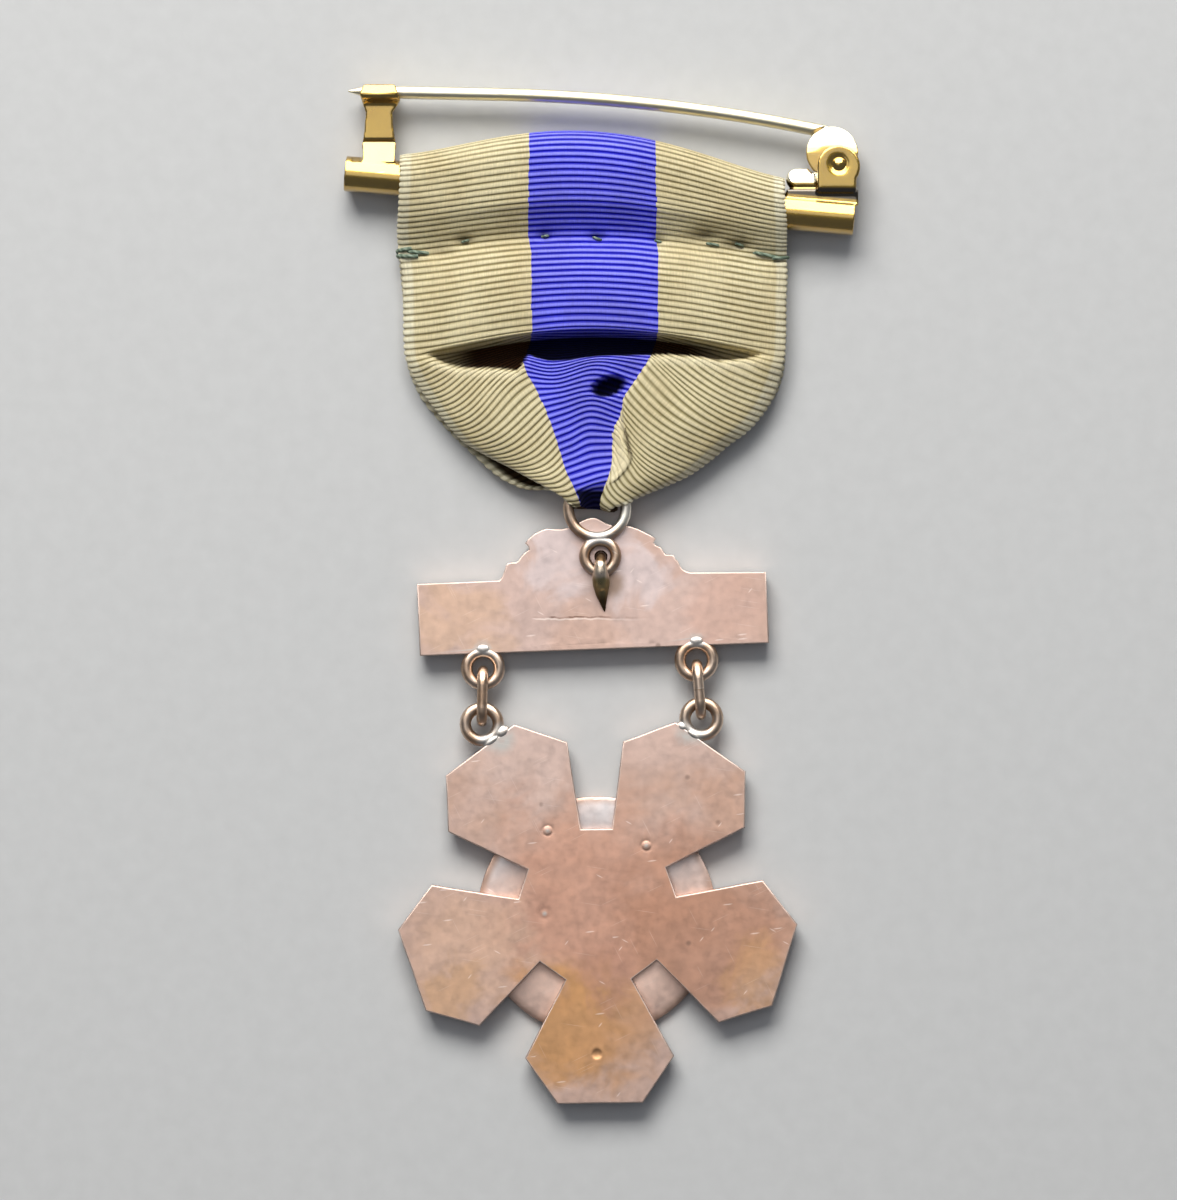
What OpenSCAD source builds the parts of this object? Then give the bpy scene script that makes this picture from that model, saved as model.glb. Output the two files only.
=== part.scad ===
// Marksman's badge, lying face down and seen from its back: a brooch bar with a hinged pin, a striped
// ribbon gathered through a ring, an arched bar, two links, and a five-armed cross on a dished disc.
// Sizes are in millimetres. +Y runs from the cross up to the pin, and +Z points up from the surface
// that the badge lies on. The origin is on that surface, under the middle of the badge.

/* [Brooch bar] */
// Outer diameter of the brass tube
tube_d = 3.2; // [3:0.1:3.2]
// Length of the tube
tube_len = 46; // [45:0.5:47]
// Diameter of the bore through the tube
tube_bore_d = 2.2; // [1.6:0.1:2.4]
// How far the tube slopes down to the right, in degrees
tube_slope = 5; // [4.8:0.1:5.2]
// Height of the tube's axis above the surface
brooch_z = 2.2; // [2.2:0.05:2.3]
// Width of the catch at its waist
catch_waist = 2.4; // [2:0.1:2.8]
// Width of the catch at its foot and lips
catch_flare = 3.1; // [2.9:0.1:3.3]
// Thickness of the strip that the catch and the ears are bent from
strip_t = 0.5; // [0.4:0.05:0.6]

/* [Hinge and pin] */
// Radius of the two ears
ear_r = 1.93; // [1.8:0.01:2]
// Thickness of one ear
ear_t = 0.8; // [0.7:0.05:0.9]
// Space between the ears
ear_gap = 1.3; // [1.3:0.05:1.4]
// Diameter of the rivet's shank
rivet_d = 1.0; // [0.8:0.05:1]
// Diameter of the rivet's domed heads
rivet_head_d = 1.3; // [1.2:0.05:1.5]
// Diameter of the pin's wire
pin_d = 1.2; // [1:0.05:1.2]
// Radius of the flattened head of the pin
pin_head_r = 2.34; // [2.2:0.02:2.36]
// Radius of the long bow of the pin
pin_bow_r = 158; // [150:1:170]
// Radial clearance of the pin's eye on the rivet
pin_clearance = 0.04; // [0.02:0.01:0.08]

/* [Ribbon] */
// Radius of the ribbon's outer face where it turns over the tube
loop_r = 2.2; // [2.2:0.05:2.3]
// Wall of the cloth round the tube
loop_wall = 0.5; // [0.4:0.05:0.5]

/* [Rings and links] */
// Diameter of the suspension ring's wire
ring_wire_d = 1.0; // [0.8:0.05:1]
// Radius of the large ring, to the middle of the wire
large_ring_r = 2.58; // [2.5:0.02:2.7]
// Radius of the small ring, to the middle of the wire
small_ring_r = 1.4; // [1.3:0.05:1.5]
// Diameter of the wire of the four soldered loops
loop_wire_d = 1.05; // [0.95:0.05:1.05]
// Radius of the soldered loops, to the middle of the wire
loop_ring_r = 1.475; // [1.475:0.025:1.6]
// Diameter of the links' wire
link_wire_d = 0.95; // [0.8:0.05:0.95]
// Length of a link, between the middles of its end wires
link_len = 4.55; // [4.55:0.05:4.65]
// Radius of a link's round ends, to the middle of the wire
link_end_r = 1.225; // [1.2:0.025:1.25]

/* [Arched bar] */
// Length of the bar
bar_len = 31.4; // [31:0.1:32]
// Height of the bar below its arch
bar_h = 6.5; // [6.3:0.1:6.7]
// Thickness of the bar, with its front border
bar_t = 1.5; // [1.2:0.1:1.6]
// Width of the raised border on the front
border_w = 0.7; // [0.5:0.1:1]
// Depth of the sunk field inside the border
field_depth = 0.3; // [0.2:0.05:0.4]
// Turn of the bar, in degrees
bar_turn = 2.05; // [1.9:0.05:2.2]

/* [Cross and disc] */
// Thickness of the cross
cross_t = 1.3; // [1.2:0.05:1.4]
// Turn of the cross, in degrees
cross_turn = 0.8; // [0.6:0.1:1]
// Distance from the centre to the end of an arm
arm_reach = 17.65; // [17.5:0.05:17.7]
// Half the width of an arm at its end
arm_end_w = 3.85; // [3.7:0.05:4]
// Half the width of an arm where it is widest
arm_wide_w = 6.7; // [6.5:0.05:6.8]
// Distance from the centre to that widest place
arm_wide_at = 13.5; // [13.3:0.1:13.7]
// Half the width of an arm at its neck
arm_neck_w = 3.0; // [2.9:0.05:3.2]
// Distance from the centre to the neck
arm_neck_at = 6.5; // [6.3:0.1:6.7]
// Radius of the dished disc on the front
disc_r = 10.8; // [10.5:0.1:11]
// Thickness of the disc at its rim
disc_t = 0.9; // [0.8:0.05:0.9]
// Width of the disc's flat rim
disc_rim_w = 0.65; // [0.5:0.05:0.8]
// Radius of the three posts that carry the disc
post_r = 0.4; // [0.3:0.05:0.45]

/* [Hidden] */

brass = [0.78, 0.64, 0.28];
bronze = [0.62, 0.40, 0.29];
dull_wire = [0.55, 0.42, 0.32];
olive = [0.72, 0.68, 0.48];

round_fn = 96;
bow_fn = 720;
gap = 0.05;

// Places seen from above, [x, y]
tube_mid = [-0.27, 35.93];
catch_x = -20.1;
rivet_at = [21.24, 38.70];
ear_at = [21.22, 38.49];
pin_head_at = [20.65, 39.78];
pin_bend_at = [-9.2, 45.05];
large_ring_at = [-0.48, 7.79];
small_ring_at = [-0.21, 3.51];
bar_at = [-0.86, -1.69];
cross_at = [-0.45, -28.1];
disc_at = [-0.50, -28.98];

// Heights
bar_back_z = 2.2;
cross_back_z = 2.25;
loop_ring_z = 1.75;
suspension_z = bar_back_z + ring_wire_d / 2 + gap;

// Round wire bent into a ring that lies flat
module wire_ring(ring_r, wire_d, z) {
    translate([0, 0, z]) rotate_extrude($fn = round_fn)
        translate([ring_r, 0]) circle(d = wire_d, $fn = 48);
}

// BROOCH BAR: the tube, its catch and its hinge bracket, soldered together

pin_slope = 1.2;
pin_tip_x = -22.9;
pin_point_len = 1.3;
catch_floor_y = pin_bend_at[1] + (pin_bend_at[0] - catch_x) * tan(pin_slope) - pin_d / 2 - 2 * gap;
catch_lip_y = 45.9;
catch_waist_y = 43.4;
catch_inner = pin_d / 2 + 0.12;
catch_foot = [2.9, 1.9, 2.4];
catch_foot_y = 40.15;
ear_floor_y = 36.45;
ear_foot_round = 0.8;
bracket_half = ear_gap / 2 + ear_t;
bracket_left = 16.5;
bracket_right = 23.0;
stop_r = 0.98;
stop_y = 37.4;
stop_end = 19.6;
dimple_r = 0.95;
dimple_depth = 0.2;

module tube_bar(d, length) {
    translate([tube_mid[0], tube_mid[1], brooch_z])
        rotate([0, 0, -tube_slope]) rotate([0, 90, 0])
            cylinder(d = d, h = length, center = true, $fn = 64);
}

// Trough for the pin: a floor with a lip in front and behind, open towards +Y
module catch_section() {
    lip_out = catch_inner + strip_t;
    difference() {
        union() {
            translate([catch_floor_y - strip_t + lip_out, 0]) circle(r = lip_out, $fn = 48);
            translate([catch_floor_y - strip_t + lip_out, -lip_out])
                square([catch_lip_y - catch_floor_y + strip_t - lip_out, 2 * lip_out]);
            translate([catch_foot_y, -strip_t]) square([catch_floor_y - catch_foot_y, 2 * strip_t]);
        }
        translate([catch_floor_y + catch_inner, 0]) circle(r = catch_inner, $fn = 48);
        translate([catch_floor_y + catch_inner, -catch_inner]) square([4, 2 * catch_inner]);
    }
}

// The catch seen from the back: waisted, and flared at its foot and lips
module catch_outline() {
    half_waist = catch_waist / 2;
    half_flare = catch_flare / 2;
    polygon([
        [-half_flare, catch_foot_y], [half_flare, catch_foot_y],
        [half_waist + 0.1, catch_waist_y - 1.4], [half_waist, catch_waist_y],
        [half_flare + 0.4, catch_lip_y - 1.4], [half_flare - 0.1, catch_lip_y],
        [-half_flare + 0.2, catch_lip_y], [-half_flare - 0.2, catch_lip_y - 0.9],
        [-half_waist, catch_waist_y], [-half_waist - 0.1, catch_waist_y - 1.4]
    ]);
}

module catch() {
    translate([catch_x, 0, 0]) intersection() {
        translate([-3, 0, brooch_z]) rotate([90, 0, 90]) linear_extrude(6) catch_section();
        linear_extrude(6) catch_outline();
    }
    translate([catch_x - catch_foot[0] / 2, catch_foot_y - catch_foot[1] / 2 - 0.3,
               brooch_z - catch_foot[2] / 2])
        cube(catch_foot);
}

// Strip bent into a U, seen along the tube: two ears with the pin's slot between them
module bracket_section() {
    inner = bracket_half - ear_foot_round;
    low = ear_floor_y - strip_t;
    difference() {
        union() {
            for (side = [-1, 1])
                translate([low + ear_foot_round, side * inner])
                    circle(r = ear_foot_round, $fn = 48);
            translate([low, -inner]) square([8, 2 * inner]);
            translate([low + ear_foot_round, -bracket_half]) square([8, 2 * bracket_half]);
        }
        translate([ear_floor_y, -ear_gap / 2]) square([9, ear_gap]);
    }
}

module hinge_bracket() {
    intersection() {
        translate([bracket_left, 0, brooch_z]) rotate([90, 0, 90]) linear_extrude(9)
            bracket_section();
        linear_extrude(6) union() {
            translate(ear_at) circle(r = ear_r, $fn = 64);
            translate([ear_at[0] - ear_r, 35]) square([2 * ear_r - 0.35, ear_at[1] - 35]);
        }
    }
    translate([bracket_left, 35, brooch_z - stop_r])
        cube([bracket_right - bracket_left, ear_floor_y - 35, 2 * stop_r]);
    // Rounded stop under the pin's head
    translate([bracket_left + stop_r, stop_y, brooch_z]) {
        sphere(r = stop_r, $fn = 48);
        rotate([0, 90, 0]) cylinder(r = stop_r, h = stop_end - bracket_left - stop_r, $fn = 48);
    }
}

module brooch_bar() {
    color(brass) difference() {
        union() {
            tube_bar(tube_d, tube_len);
            catch();
            hinge_bracket();
        }
        tube_bar(tube_bore_d, tube_len + 2);
        // Room for the pin's head between the ears and in the stop
        translate([pin_head_at[0], pin_head_at[1], brooch_z - ear_gap / 2])
            cylinder(r = pin_head_r + 0.12, h = ear_gap, $fn = 96);
        translate([rivet_at[0], rivet_at[1], brooch_z - 5])
            cylinder(d = rivet_d + 0.04, h = 10, $fn = 48);
        for (side = [-1, 1])
            translate([rivet_at[0], rivet_at[1],
                       brooch_z + side * (bracket_half + 1 - dimple_depth) - 1])
                cylinder(r = dimple_r, h = 2, $fn = 48);
    }
}

// HINGE RIVET: a headed pin through both ears

module hinge_rivet() {
    seat = bracket_half - dimple_depth;
    dome_r = 0.8;
    color(brass) translate([rivet_at[0], rivet_at[1], brooch_z]) {
        cylinder(d = rivet_d, h = 2 * seat + 0.2, center = true, $fn = 48);
        for (turn = [0, 180]) rotate([turn, 0, 0]) intersection() {
            translate([0, 0, seat]) cylinder(d = rivet_head_d, h = 1, $fn = 48);
            translate([0, 0, seat + 0.4 - dome_r]) sphere(r = dome_r, $fn = 64);
        }
    }
}

// PIN: a bowed wire with a sharp point and a flattened head that turns on the rivet

pin_bow_angle = 10.6;
pin_neck_r = 2;
pin_neck_angle = 15;
pin_neck_len = 0.8;
// Straight wire between the bow and the catch
pin_open_len = 8.4;
// The wire tapers in the catch, down to this diameter where its point starts
pin_taper_d = 0.95;
// The wire thins a little where it bends
draw_step = 0.02;

// Wire that starts along +X and bends down, with what follows it carried at its far end
module wire_bend(r, angle, d) {
    translate([0, -r, 0]) rotate([0, 0, 90 - angle])
        rotate_extrude(angle = angle, $fn = bow_fn) translate([r, 0]) circle(d = d, $fn = 48);
    translate([r * sin(angle), -r * (1 - cos(angle)), 0]) rotate([0, 0, -angle]) children();
}

module pin_stem() {
    straight = (pin_bend_at[0] - pin_tip_x) / cos(pin_slope) - pin_point_len;
    color(brass) difference() {
        union() {
            translate([pin_bend_at[0], pin_bend_at[1], brooch_z]) rotate([0, 0, -pin_slope]) {
                rotate([0, -90, 0]) {
                    cylinder(d = pin_d, h = pin_open_len, $fn = 48);
                    translate([0, 0, pin_open_len])
                        cylinder(d1 = pin_d, d2 = pin_taper_d, h = straight - pin_open_len, $fn = 48);
                    translate([0, 0, straight])
                        cylinder(d1 = pin_taper_d, d2 = 0.15, h = pin_point_len, $fn = 48);
                }
                wire_bend(pin_bow_r, pin_bow_angle, pin_d - draw_step)
                    wire_bend(pin_neck_r, pin_neck_angle, pin_d - 2 * draw_step)
                        rotate([0, 90, 0])
                            cylinder(d = pin_d - 3 * draw_step, h = pin_neck_len, $fn = 48);
            }
            translate([pin_head_at[0], pin_head_at[1], brooch_z])
                cylinder(r = pin_head_r, h = ear_gap - gap, center = true, $fn = 96);
        }
        translate([rivet_at[0], rivet_at[1], brooch_z - 2])
            cylinder(r = rivet_d / 2 + pin_clearance, h = 4, $fn = 48);
    }
}

// RIBBON: one band of cloth, turned over the tube, sewn under it and gathered through the large ring.
// Each row is a section across the band, in order down the back and up the front:
// [left x, left y, right x, right y, rise of the middle, z at the edges, z in the middle, wall]

back_rows = [
    [-18.3, 35.5,  16.5, 32.6, 0.3, 4.35, 4.35, 0.5], // under side of the tube
    [-18.4, 33.0,  16.5, 31.6, 1.0, 3.3,  3.6,  0.5], // falling to the stitches
    [-18.3, 30.9,  16.5, 30.4, 1.6, 2.1,  2.6,  0.8], // line of stitches
    [-18.0, 29.1,  16.6, 28.7, 1.7, 2.1,  3.4,  0.9], // rising again
    [-17.9, 26.6,  16.5, 26.3, 1.9, 2.2,  4.0,  1.0], // flat of the upper panel
    [-17.9, 24.2,  16.5, 23.9, 1.9, 2.2,  4.1,  1.0], // crown of the upper panel
    [-17.8, 22.1,  16.4, 22.0, 2.0, 2.2,  3.7,  0.8], // upper lip of the deep fold
    [-17.8, 21.8,  16.4, 21.7, 1.6, 2.15, 1.9,  0.7], // foot of the upper lip
    [-17.7, 21.4,  16.4, 21.3, 0.8, 2.15, 1.9,  0.7], // bottom of the deep fold
    [-17.6, 21.0,  16.3, 20.9, 0.5, 2.2,  3.3,  0.8], // lower lip
    [-17.2, 20.0,  16.1, 20.1, 0.8, 2.2,  3.5,  1.0], // top of the lower panels
    [-16.6, 18.4,  15.7, 18.4, 1.5, 2.2,  3.4,  1.0], // lower panels begin to close
    [-14.5, 15.8,  14.1, 15.8, 2.5, 2.2,  3.3,  1.0], // ribs slant along both selvages
    [-11.8, 13.1,  11.0, 13.1, 3.2, 2.3,  3.3,  1.0], // half way to the ring
    [-8.3,  11.4,   8.3, 10.9, 2.9, 2.6,  3.5,  1.0], // gathering
    [-5.8,  10.3,   5.2,  9.5, 2.4, 3.3,  4.0,  0.9], // above the large ring
    [-4.1,   9.3,   2.7,  8.6, 1.6, 4.2,  4.3,  0.8], // over the wire
    [-2.3,   8.2,   1.3,  7.9, 0.5, 3.9,  4.0,  0.7], // into the ring
    [-2.1,   7.6,   1.2,  7.5, 0.1, 2.75, 2.75, 0.7]  // turn under the wire
];

front_rows = [
    [-2.3,   8.1,   1.3,  7.9, 0.4, 1.5,  1.4,  0.7], // out of the ring
    [-4.3,   9.2,   2.8,  8.6, 1.3, 1.1,  1.1,  0.8], // under the wire
    [-6.6,   9.5,   5.6,  9.3, 2.0, 0.8,  0.8,  0.9], // spreading
    [-9.2,  11.0,   8.6, 10.7, 2.6, 0.4,  0.4,  1.0], // selvage that shows past the back panel
    [-12.1, 12.9,  11.0, 12.9, 2.6, 0.1,  0.1,  1.0], // flat on the surface
    [-14.7, 15.6,  14.1, 15.6, 2.0, 0.0,  0.0,  1.0], // widening
    [-16.6, 18.3,  15.7, 18.3, 1.4, 0.0,  0.0,  1.0], // full width
    [-17.6, 21.2,  16.4, 21.2, 1.0, 0.0,  0.0,  1.0], // straight selvages
    [-17.9, 26.4,  16.5, 26.2, 0.9, 0.0,  0.0,  1.0], // lower half
    [-18.3, 30.8,  16.5, 30.3, 1.2, 0.1,  0.1,  0.9], // line of stitches
    [-18.4, 33.5,  16.5, 32.3, 0.7, 0.05, 0.05, 0.6]  // rising to the tube
];

// The turn over the tube, as rows at equal angles from the back over the top to the front
loop_edge = [-18.1, 37.5, 16.3, 35.4];
loop_rise = 3.1;
function loop_row(angle) = [
    loop_edge[0], loop_edge[1] + loop_r * sin(angle),
    loop_edge[2], loop_edge[3] + loop_r * sin(angle),
    loop_rise, brooch_z + loop_r * cos(angle), brooch_z + loop_r * cos(angle), loop_wall
];
loop_step = 22.5;
band_rows = concat(
    [for (a = [90:-loop_step:0]) loop_row(a)], back_rows,
    front_rows, [for (a = [180:-loop_step:90 + loop_step]) loop_row(a)]
);
band_n = len(band_rows);
band_cols = 17;
// How sharply the sections arch, and how flat they lie between the selvages
rise_power = 1.5;
edge_flat = 3;

function across(j) = 2 * j / (band_cols - 1) - 1;
function mix(a, b, t) = a + (b - a) * t;
// Point on the outer face of the band, at a row and a column
function band_point(row, j) =
    let (s = across(j), t = (s + 1) / 2)
    [mix(row[0], row[2], t),
     mix(row[1], row[3], t) + row[4] * pow(1 - s * s, rise_power),
     mix(row[5], row[6], 1 - pow(abs(s), edge_flat))];
band_outer = [for (row = band_rows) [for (j = [0:band_cols - 1]) band_point(row, j)]];

function unit(v) = v / norm(v);
function band_normal(i, j) =
    let (up = band_outer[(i + band_n - 1) % band_n][j],
         down = band_outer[(i + 1) % band_n][j],
         left = band_outer[i][max(j - 1, 0)],
         right = band_outer[i][min(j + 1, band_cols - 1)])
    unit(cross(right - left, up - down));
band_inner = [for (i = [0:band_n - 1]) [for (j = [0:band_cols - 1])
    band_outer[i][j] - band_rows[i][7] * band_normal(i, j)]];

module ribbon() {
    skin = band_n * band_cols;
    points = concat([for (row = band_outer) each row], [for (row = band_inner) each row]);
    function at(side, i, j) = side * skin + (i % band_n) * band_cols + j;
    outer_faces = [for (i = [0:band_n - 1], j = [0:band_cols - 2]) each [
        [at(0, i, j), at(0, i, j + 1), at(0, i + 1, j + 1)],
        [at(0, i, j), at(0, i + 1, j + 1), at(0, i + 1, j)]]];
    inner_faces = [for (i = [0:band_n - 1], j = [0:band_cols - 2]) each [
        [at(1, i, j), at(1, i + 1, j + 1), at(1, i, j + 1)],
        [at(1, i, j), at(1, i + 1, j), at(1, i + 1, j + 1)]]];
    last = band_cols - 1;
    edge_faces = [for (i = [0:band_n - 1]) each [
        [at(0, i, 0), at(0, i + 1, 0), at(1, i + 1, 0)],
        [at(0, i, 0), at(1, i + 1, 0), at(1, i, 0)],
        [at(0, i, last), at(1, i + 1, last), at(0, i + 1, last)],
        [at(0, i, last), at(1, i, last), at(1, i + 1, last)]]];
    color(olive) polyhedron(points, concat(outer_faces, inner_faces, edge_faces));
}

// SUSPENSION RING: a large and a small wire ring soldered edge to edge

module suspension_ring() {
    color(dull_wire) {
        translate(large_ring_at) wire_ring(large_ring_r, ring_wire_d, suspension_z);
        translate(small_ring_at) wire_ring(small_ring_r, ring_wire_d, suspension_z);
    }
}

// CLASP BAR: a flat bar with a lobed arch, a wire hoop on its back and two loops below

// Lobes of the arch, on each side of its middle: [x, y, radius]
arch_lobes = [
    [0.1, 7.05, 1.6],
    [3.95, 6.0, 1.7],
    [5.3, 4.75, 1.5],
    [7.3, 3.9, 1.05]
];
// Half of the arch's body behind the lobes, from its foot to its crown
arch_body = [[7.3, 2], [4.6, 6.9], [1.5, 7.9]];
bar_loops = [[-10.07, -4.53], [9.16, -4.49]];
hoop_r = 1.4;
hoop_leg = 0.6;
hoop_turn = 5;
hoop_tail = 2.0;
solder_r = 1.2;

module bar_outline(inset) {
    translate([-bar_len / 2 + inset, -bar_h / 2 + inset])
        square([bar_len - 2 * inset, bar_h - 2 * inset]);
    for (side = [-1, 1])
        polygon(concat([[0, 0]], [for (p = arch_body) [side * (p[0] - inset), p[1] - inset]],
                       [[0, arch_body[2][1] - inset]]));
    for (lobe = arch_lobes, side = [-1, 1])
        translate([side * lobe[0], lobe[1]]) circle(r = lobe[2] - inset, $fn = 64);
}

// Wire hoop that stands on the bar's back, through the small ring, with a tapering tail
module hoop() {
    translate([small_ring_at[0], small_ring_at[1] - small_ring_r, bar_back_z])
        rotate([0, 0, hoop_turn]) {
            translate([0, 0, hoop_leg]) rotate([0, 0, 90]) rotate([90, 0, 0])
                rotate_extrude(angle = 180, $fn = round_fn)
                    translate([hoop_r, 0]) circle(d = ring_wire_d, $fn = 48);
            for (side = [-1, 1]) translate([0, side * hoop_r, -0.3])
                cylinder(d = ring_wire_d, h = hoop_leg + 0.3, $fn = 48);
            translate([0, -hoop_r, hoop_leg]) rotate([105, 0, 0])
                cylinder(d1 = ring_wire_d, d2 = 0.3, h = hoop_tail, $fn = 48);
        }
}

// Low dome of solder on the bar's back
module solder_dome() {
    intersection() {
        translate([0, 0, 0.2 - solder_r]) sphere(r = solder_r, $fn = 48);
        translate([-solder_r, -solder_r, -0.4]) cube([2 * solder_r, 2 * solder_r, 1]);
    }
}

module clasp_bar() {
    color(bronze) {
        translate([bar_at[0], bar_at[1], 0]) rotate([0, 0, bar_turn]) {
            difference() {
                translate([0, 0, bar_back_z - bar_t]) linear_extrude(bar_t) bar_outline(0);
                translate([0, 0, bar_back_z - bar_t - 1]) linear_extrude(1 + field_depth)
                    bar_outline(border_w);
            }
            for (at = bar_loops) {
                translate(at) wire_ring(loop_ring_r, loop_wire_d, loop_ring_z);
                translate([at[0], at[1] + 1.75, bar_back_z]) solder_dome();
            }
        }
        hoop();
    }
}

// LINKS: upright oval wire links, each through a loop of the bar and a loop of the cross

cross_loops = [[-10.87, -11.62], [8.91, -11.16]];

function turned(p, a) = [p[0] * cos(a) - p[1] * sin(a), p[0] * sin(a) + p[1] * cos(a)];
function bar_loop_at(k) = bar_at + turned(bar_loops[k], bar_turn);

module link(k, slit) {
    top = bar_loop_at(k);
    low = cross_loops[k];
    mid = (top + low) / 2;
    half = link_len / 2 - link_end_r;
    lean = atan2(top[0] - low[0], top[1] - low[1]);
    translate([mid[0], mid[1], loop_ring_z]) rotate([0, 0, -lean]) rotate([0, 0, 90])
        rotate([90, 0, 0]) difference() {
            union() {
                for (side = [-1, 1]) {
                    translate([side * half, 0, 0]) rotate([0, 0, side * 90 - 90 - 90])
                        rotate_extrude(angle = 180, $fn = round_fn)
                            translate([link_end_r, 0]) circle(d = link_wire_d, $fn = 48);
                    translate([-half, side * link_end_r, 0]) rotate([0, 90, 0])
                        cylinder(d = link_wire_d, h = 2 * half, $fn = 48);
                }
            }
            if (slit > 0)
                translate([-slit / 2, link_end_r - 0.7, -1]) cube([slit, 1.4, 2]);
        }
}

module link_left() { color(dull_wire) link(0, 0); }
module link_right() { color(dull_wire) link(1, 0.12); }

// CROSS: five equal arms with two loops soldered to the upper ones, and the disc's three post holes

// Places of the posts, and of the punched dimple on the lowest arm
posts = [[-4.94, -21.2], [3.95, -22.55], [-5.21, -28.67]];
dimple_at = [-0.5, -41.3];
arm_n = 5;

// Corners of an arm that points along +X, from its right neck round to its left
function arm_side(inset) = [
    [arm_neck_at + inset, arm_neck_w - inset],
    [arm_wide_at, arm_wide_w - inset * 1.2],
    [arm_reach - inset, arm_end_w - inset * 0.5]
];
function arm_corners(inset) = concat(
    [for (p = arm_side(inset)) [p[0], -p[1]]],
    [for (k = [2:-1:0]) arm_side(inset)[k]]
);

module cross_outline() {
    polygon([for (k = [0:arm_n - 1]) let (a = -90 + k * 360 / arm_n)
        each [for (p = arm_corners(0)) turned(p, a)]]);
}

// Sunk field on the front of each arm, outside the disc
module arm_fields() {
    for (k = [0:arm_n - 1]) rotate([0, 0, -90 + k * 360 / arm_n]) difference() {
        linear_extrude(1 + field_depth) polygon(arm_corners(border_w));
        translate([0, 0, -1]) cylinder(r = disc_r + 1.4, h = 4, $fn = round_fn);
    }
}

module cross_solder(x, y, r) {
    translate([x, y, loop_ring_z + 0.1]) sphere(r = r, $fn = 32);
}

module cross_plate() {
    translate([cross_at[0], cross_at[1], 0]) rotate([0, 0, cross_turn]) difference() {
        translate([0, 0, cross_back_z - cross_t]) linear_extrude(cross_t) cross_outline();
        translate([0, 0, cross_back_z - cross_t - 1]) arm_fields();
    }
}

module cross_badge() {
    color(bronze) difference() {
        union() {
            cross_plate();
            for (at = cross_loops) translate(at) wire_ring(loop_ring_r, loop_wire_d, loop_ring_z);
            cross_solder(cross_loops[0][0] + 0.35, cross_loops[0][1] - 1.85, 0.6);
            cross_solder(cross_loops[0][0] + 1.35, cross_loops[0][1] - 1.35, 0.55);
            cross_solder(cross_loops[1][0] - 0.55, cross_loops[1][1] - 1.7, 0.6);
            cross_solder(cross_loops[1][0] - 1.95, cross_loops[1][1] - 0.65, 0.5);
        }
        for (p = posts) translate([p[0], p[1], -1]) cylinder(r = post_r + gap, h = 6, $fn = 32);
        translate([dimple_at[0], dimple_at[1], cross_back_z + 0.15])
            sphere(r = 0.45, $fn = 32);
    }
}

// DISC: the dished medallion on the front, carried by three posts through the cross

// Outline of the disc's section, [radius, z], up the rim and in over the dished back
dish_section = [
    [disc_r - 0.3, 0], [disc_r, 0.3], [disc_r, disc_t], [disc_r - disc_rim_w, disc_t],
    [disc_r - disc_rim_w - 0.25, disc_t - 0.2], [7, 0.45], [3.5, 0.38], [0, 0.36]
];
// Plain rings sunk in the front: [inner radius, outer radius]
front_grooves = [[9.3, 9.9], [6.0, 6.6], [3.9, 4.4], [2.0, 2.4]];

module wreath_disc() {
    color(bronze) translate([disc_at[0], disc_at[1], 0]) {
        difference() {
            rotate_extrude($fn = round_fn) polygon(concat([[0, 0]], dish_section));
            for (g = front_grooves) translate([0, 0, -1]) difference() {
                cylinder(r = g[1], h = 1.15, $fn = round_fn);
                translate([0, 0, -1]) cylinder(r = g[0], h = 4, $fn = round_fn);
            }
        }
        for (p = posts) translate([p[0] - disc_at[0], p[1] - disc_at[1], 0.3])
            cylinder(r = post_r, h = cross_back_z - 0.1 - 0.3, $fn = 32);
    }
}

brooch_bar();
hinge_rivet();
pin_stem();
ribbon();
suspension_ring();
clasp_bar();
link_left();
link_right();
cross_badge();  // cross
wreath_disc();
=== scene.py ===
import math

import bmesh
import bpy
import numpy as np
from mathutils import Matrix, Vector
from mathutils.geometry import delaunay_2d_cdt


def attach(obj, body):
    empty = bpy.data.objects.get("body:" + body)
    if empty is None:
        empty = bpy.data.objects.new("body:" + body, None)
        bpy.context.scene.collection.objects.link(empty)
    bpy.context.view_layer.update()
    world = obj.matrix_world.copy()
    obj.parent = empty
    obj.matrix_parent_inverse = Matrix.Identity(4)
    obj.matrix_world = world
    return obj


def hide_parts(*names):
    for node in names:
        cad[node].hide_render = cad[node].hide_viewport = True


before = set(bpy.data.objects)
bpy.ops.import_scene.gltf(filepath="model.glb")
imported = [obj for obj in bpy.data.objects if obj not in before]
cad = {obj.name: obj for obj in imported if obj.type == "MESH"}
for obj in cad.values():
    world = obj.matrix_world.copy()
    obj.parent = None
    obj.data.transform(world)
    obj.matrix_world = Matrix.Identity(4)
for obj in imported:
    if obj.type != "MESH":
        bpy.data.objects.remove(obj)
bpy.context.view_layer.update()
MM = 0.001


# RIBBON. One band of grosgrain: thick weft cords, 0.57 mm apart, wrapped by fine silk warp threads, olive with
# an ultramarine middle. It is turned over the brooch tube, sewn together below it, buckled in a deep fold and
# gathered through the large ring. It is modelled as two lengths of the same band: down the back, up the front.
rib_pitch, rib_depth, cloth_wall = 0.57, 0.12, 0.4
# Shares of the band's width: the sides of its blue stripe, the crest of the fold beside it, and a selvage
stripe_left, stripe_right, fold_edge, selvage_width = 0.335, 0.665, 0.7, 0.034
wire_radius, wire_ring_centre, wire_ring_radius, wire_ring_z = 0.5, (-0.48, 7.79), 2.58, 2.75
wire_clearance = wire_radius + 0.34
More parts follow.
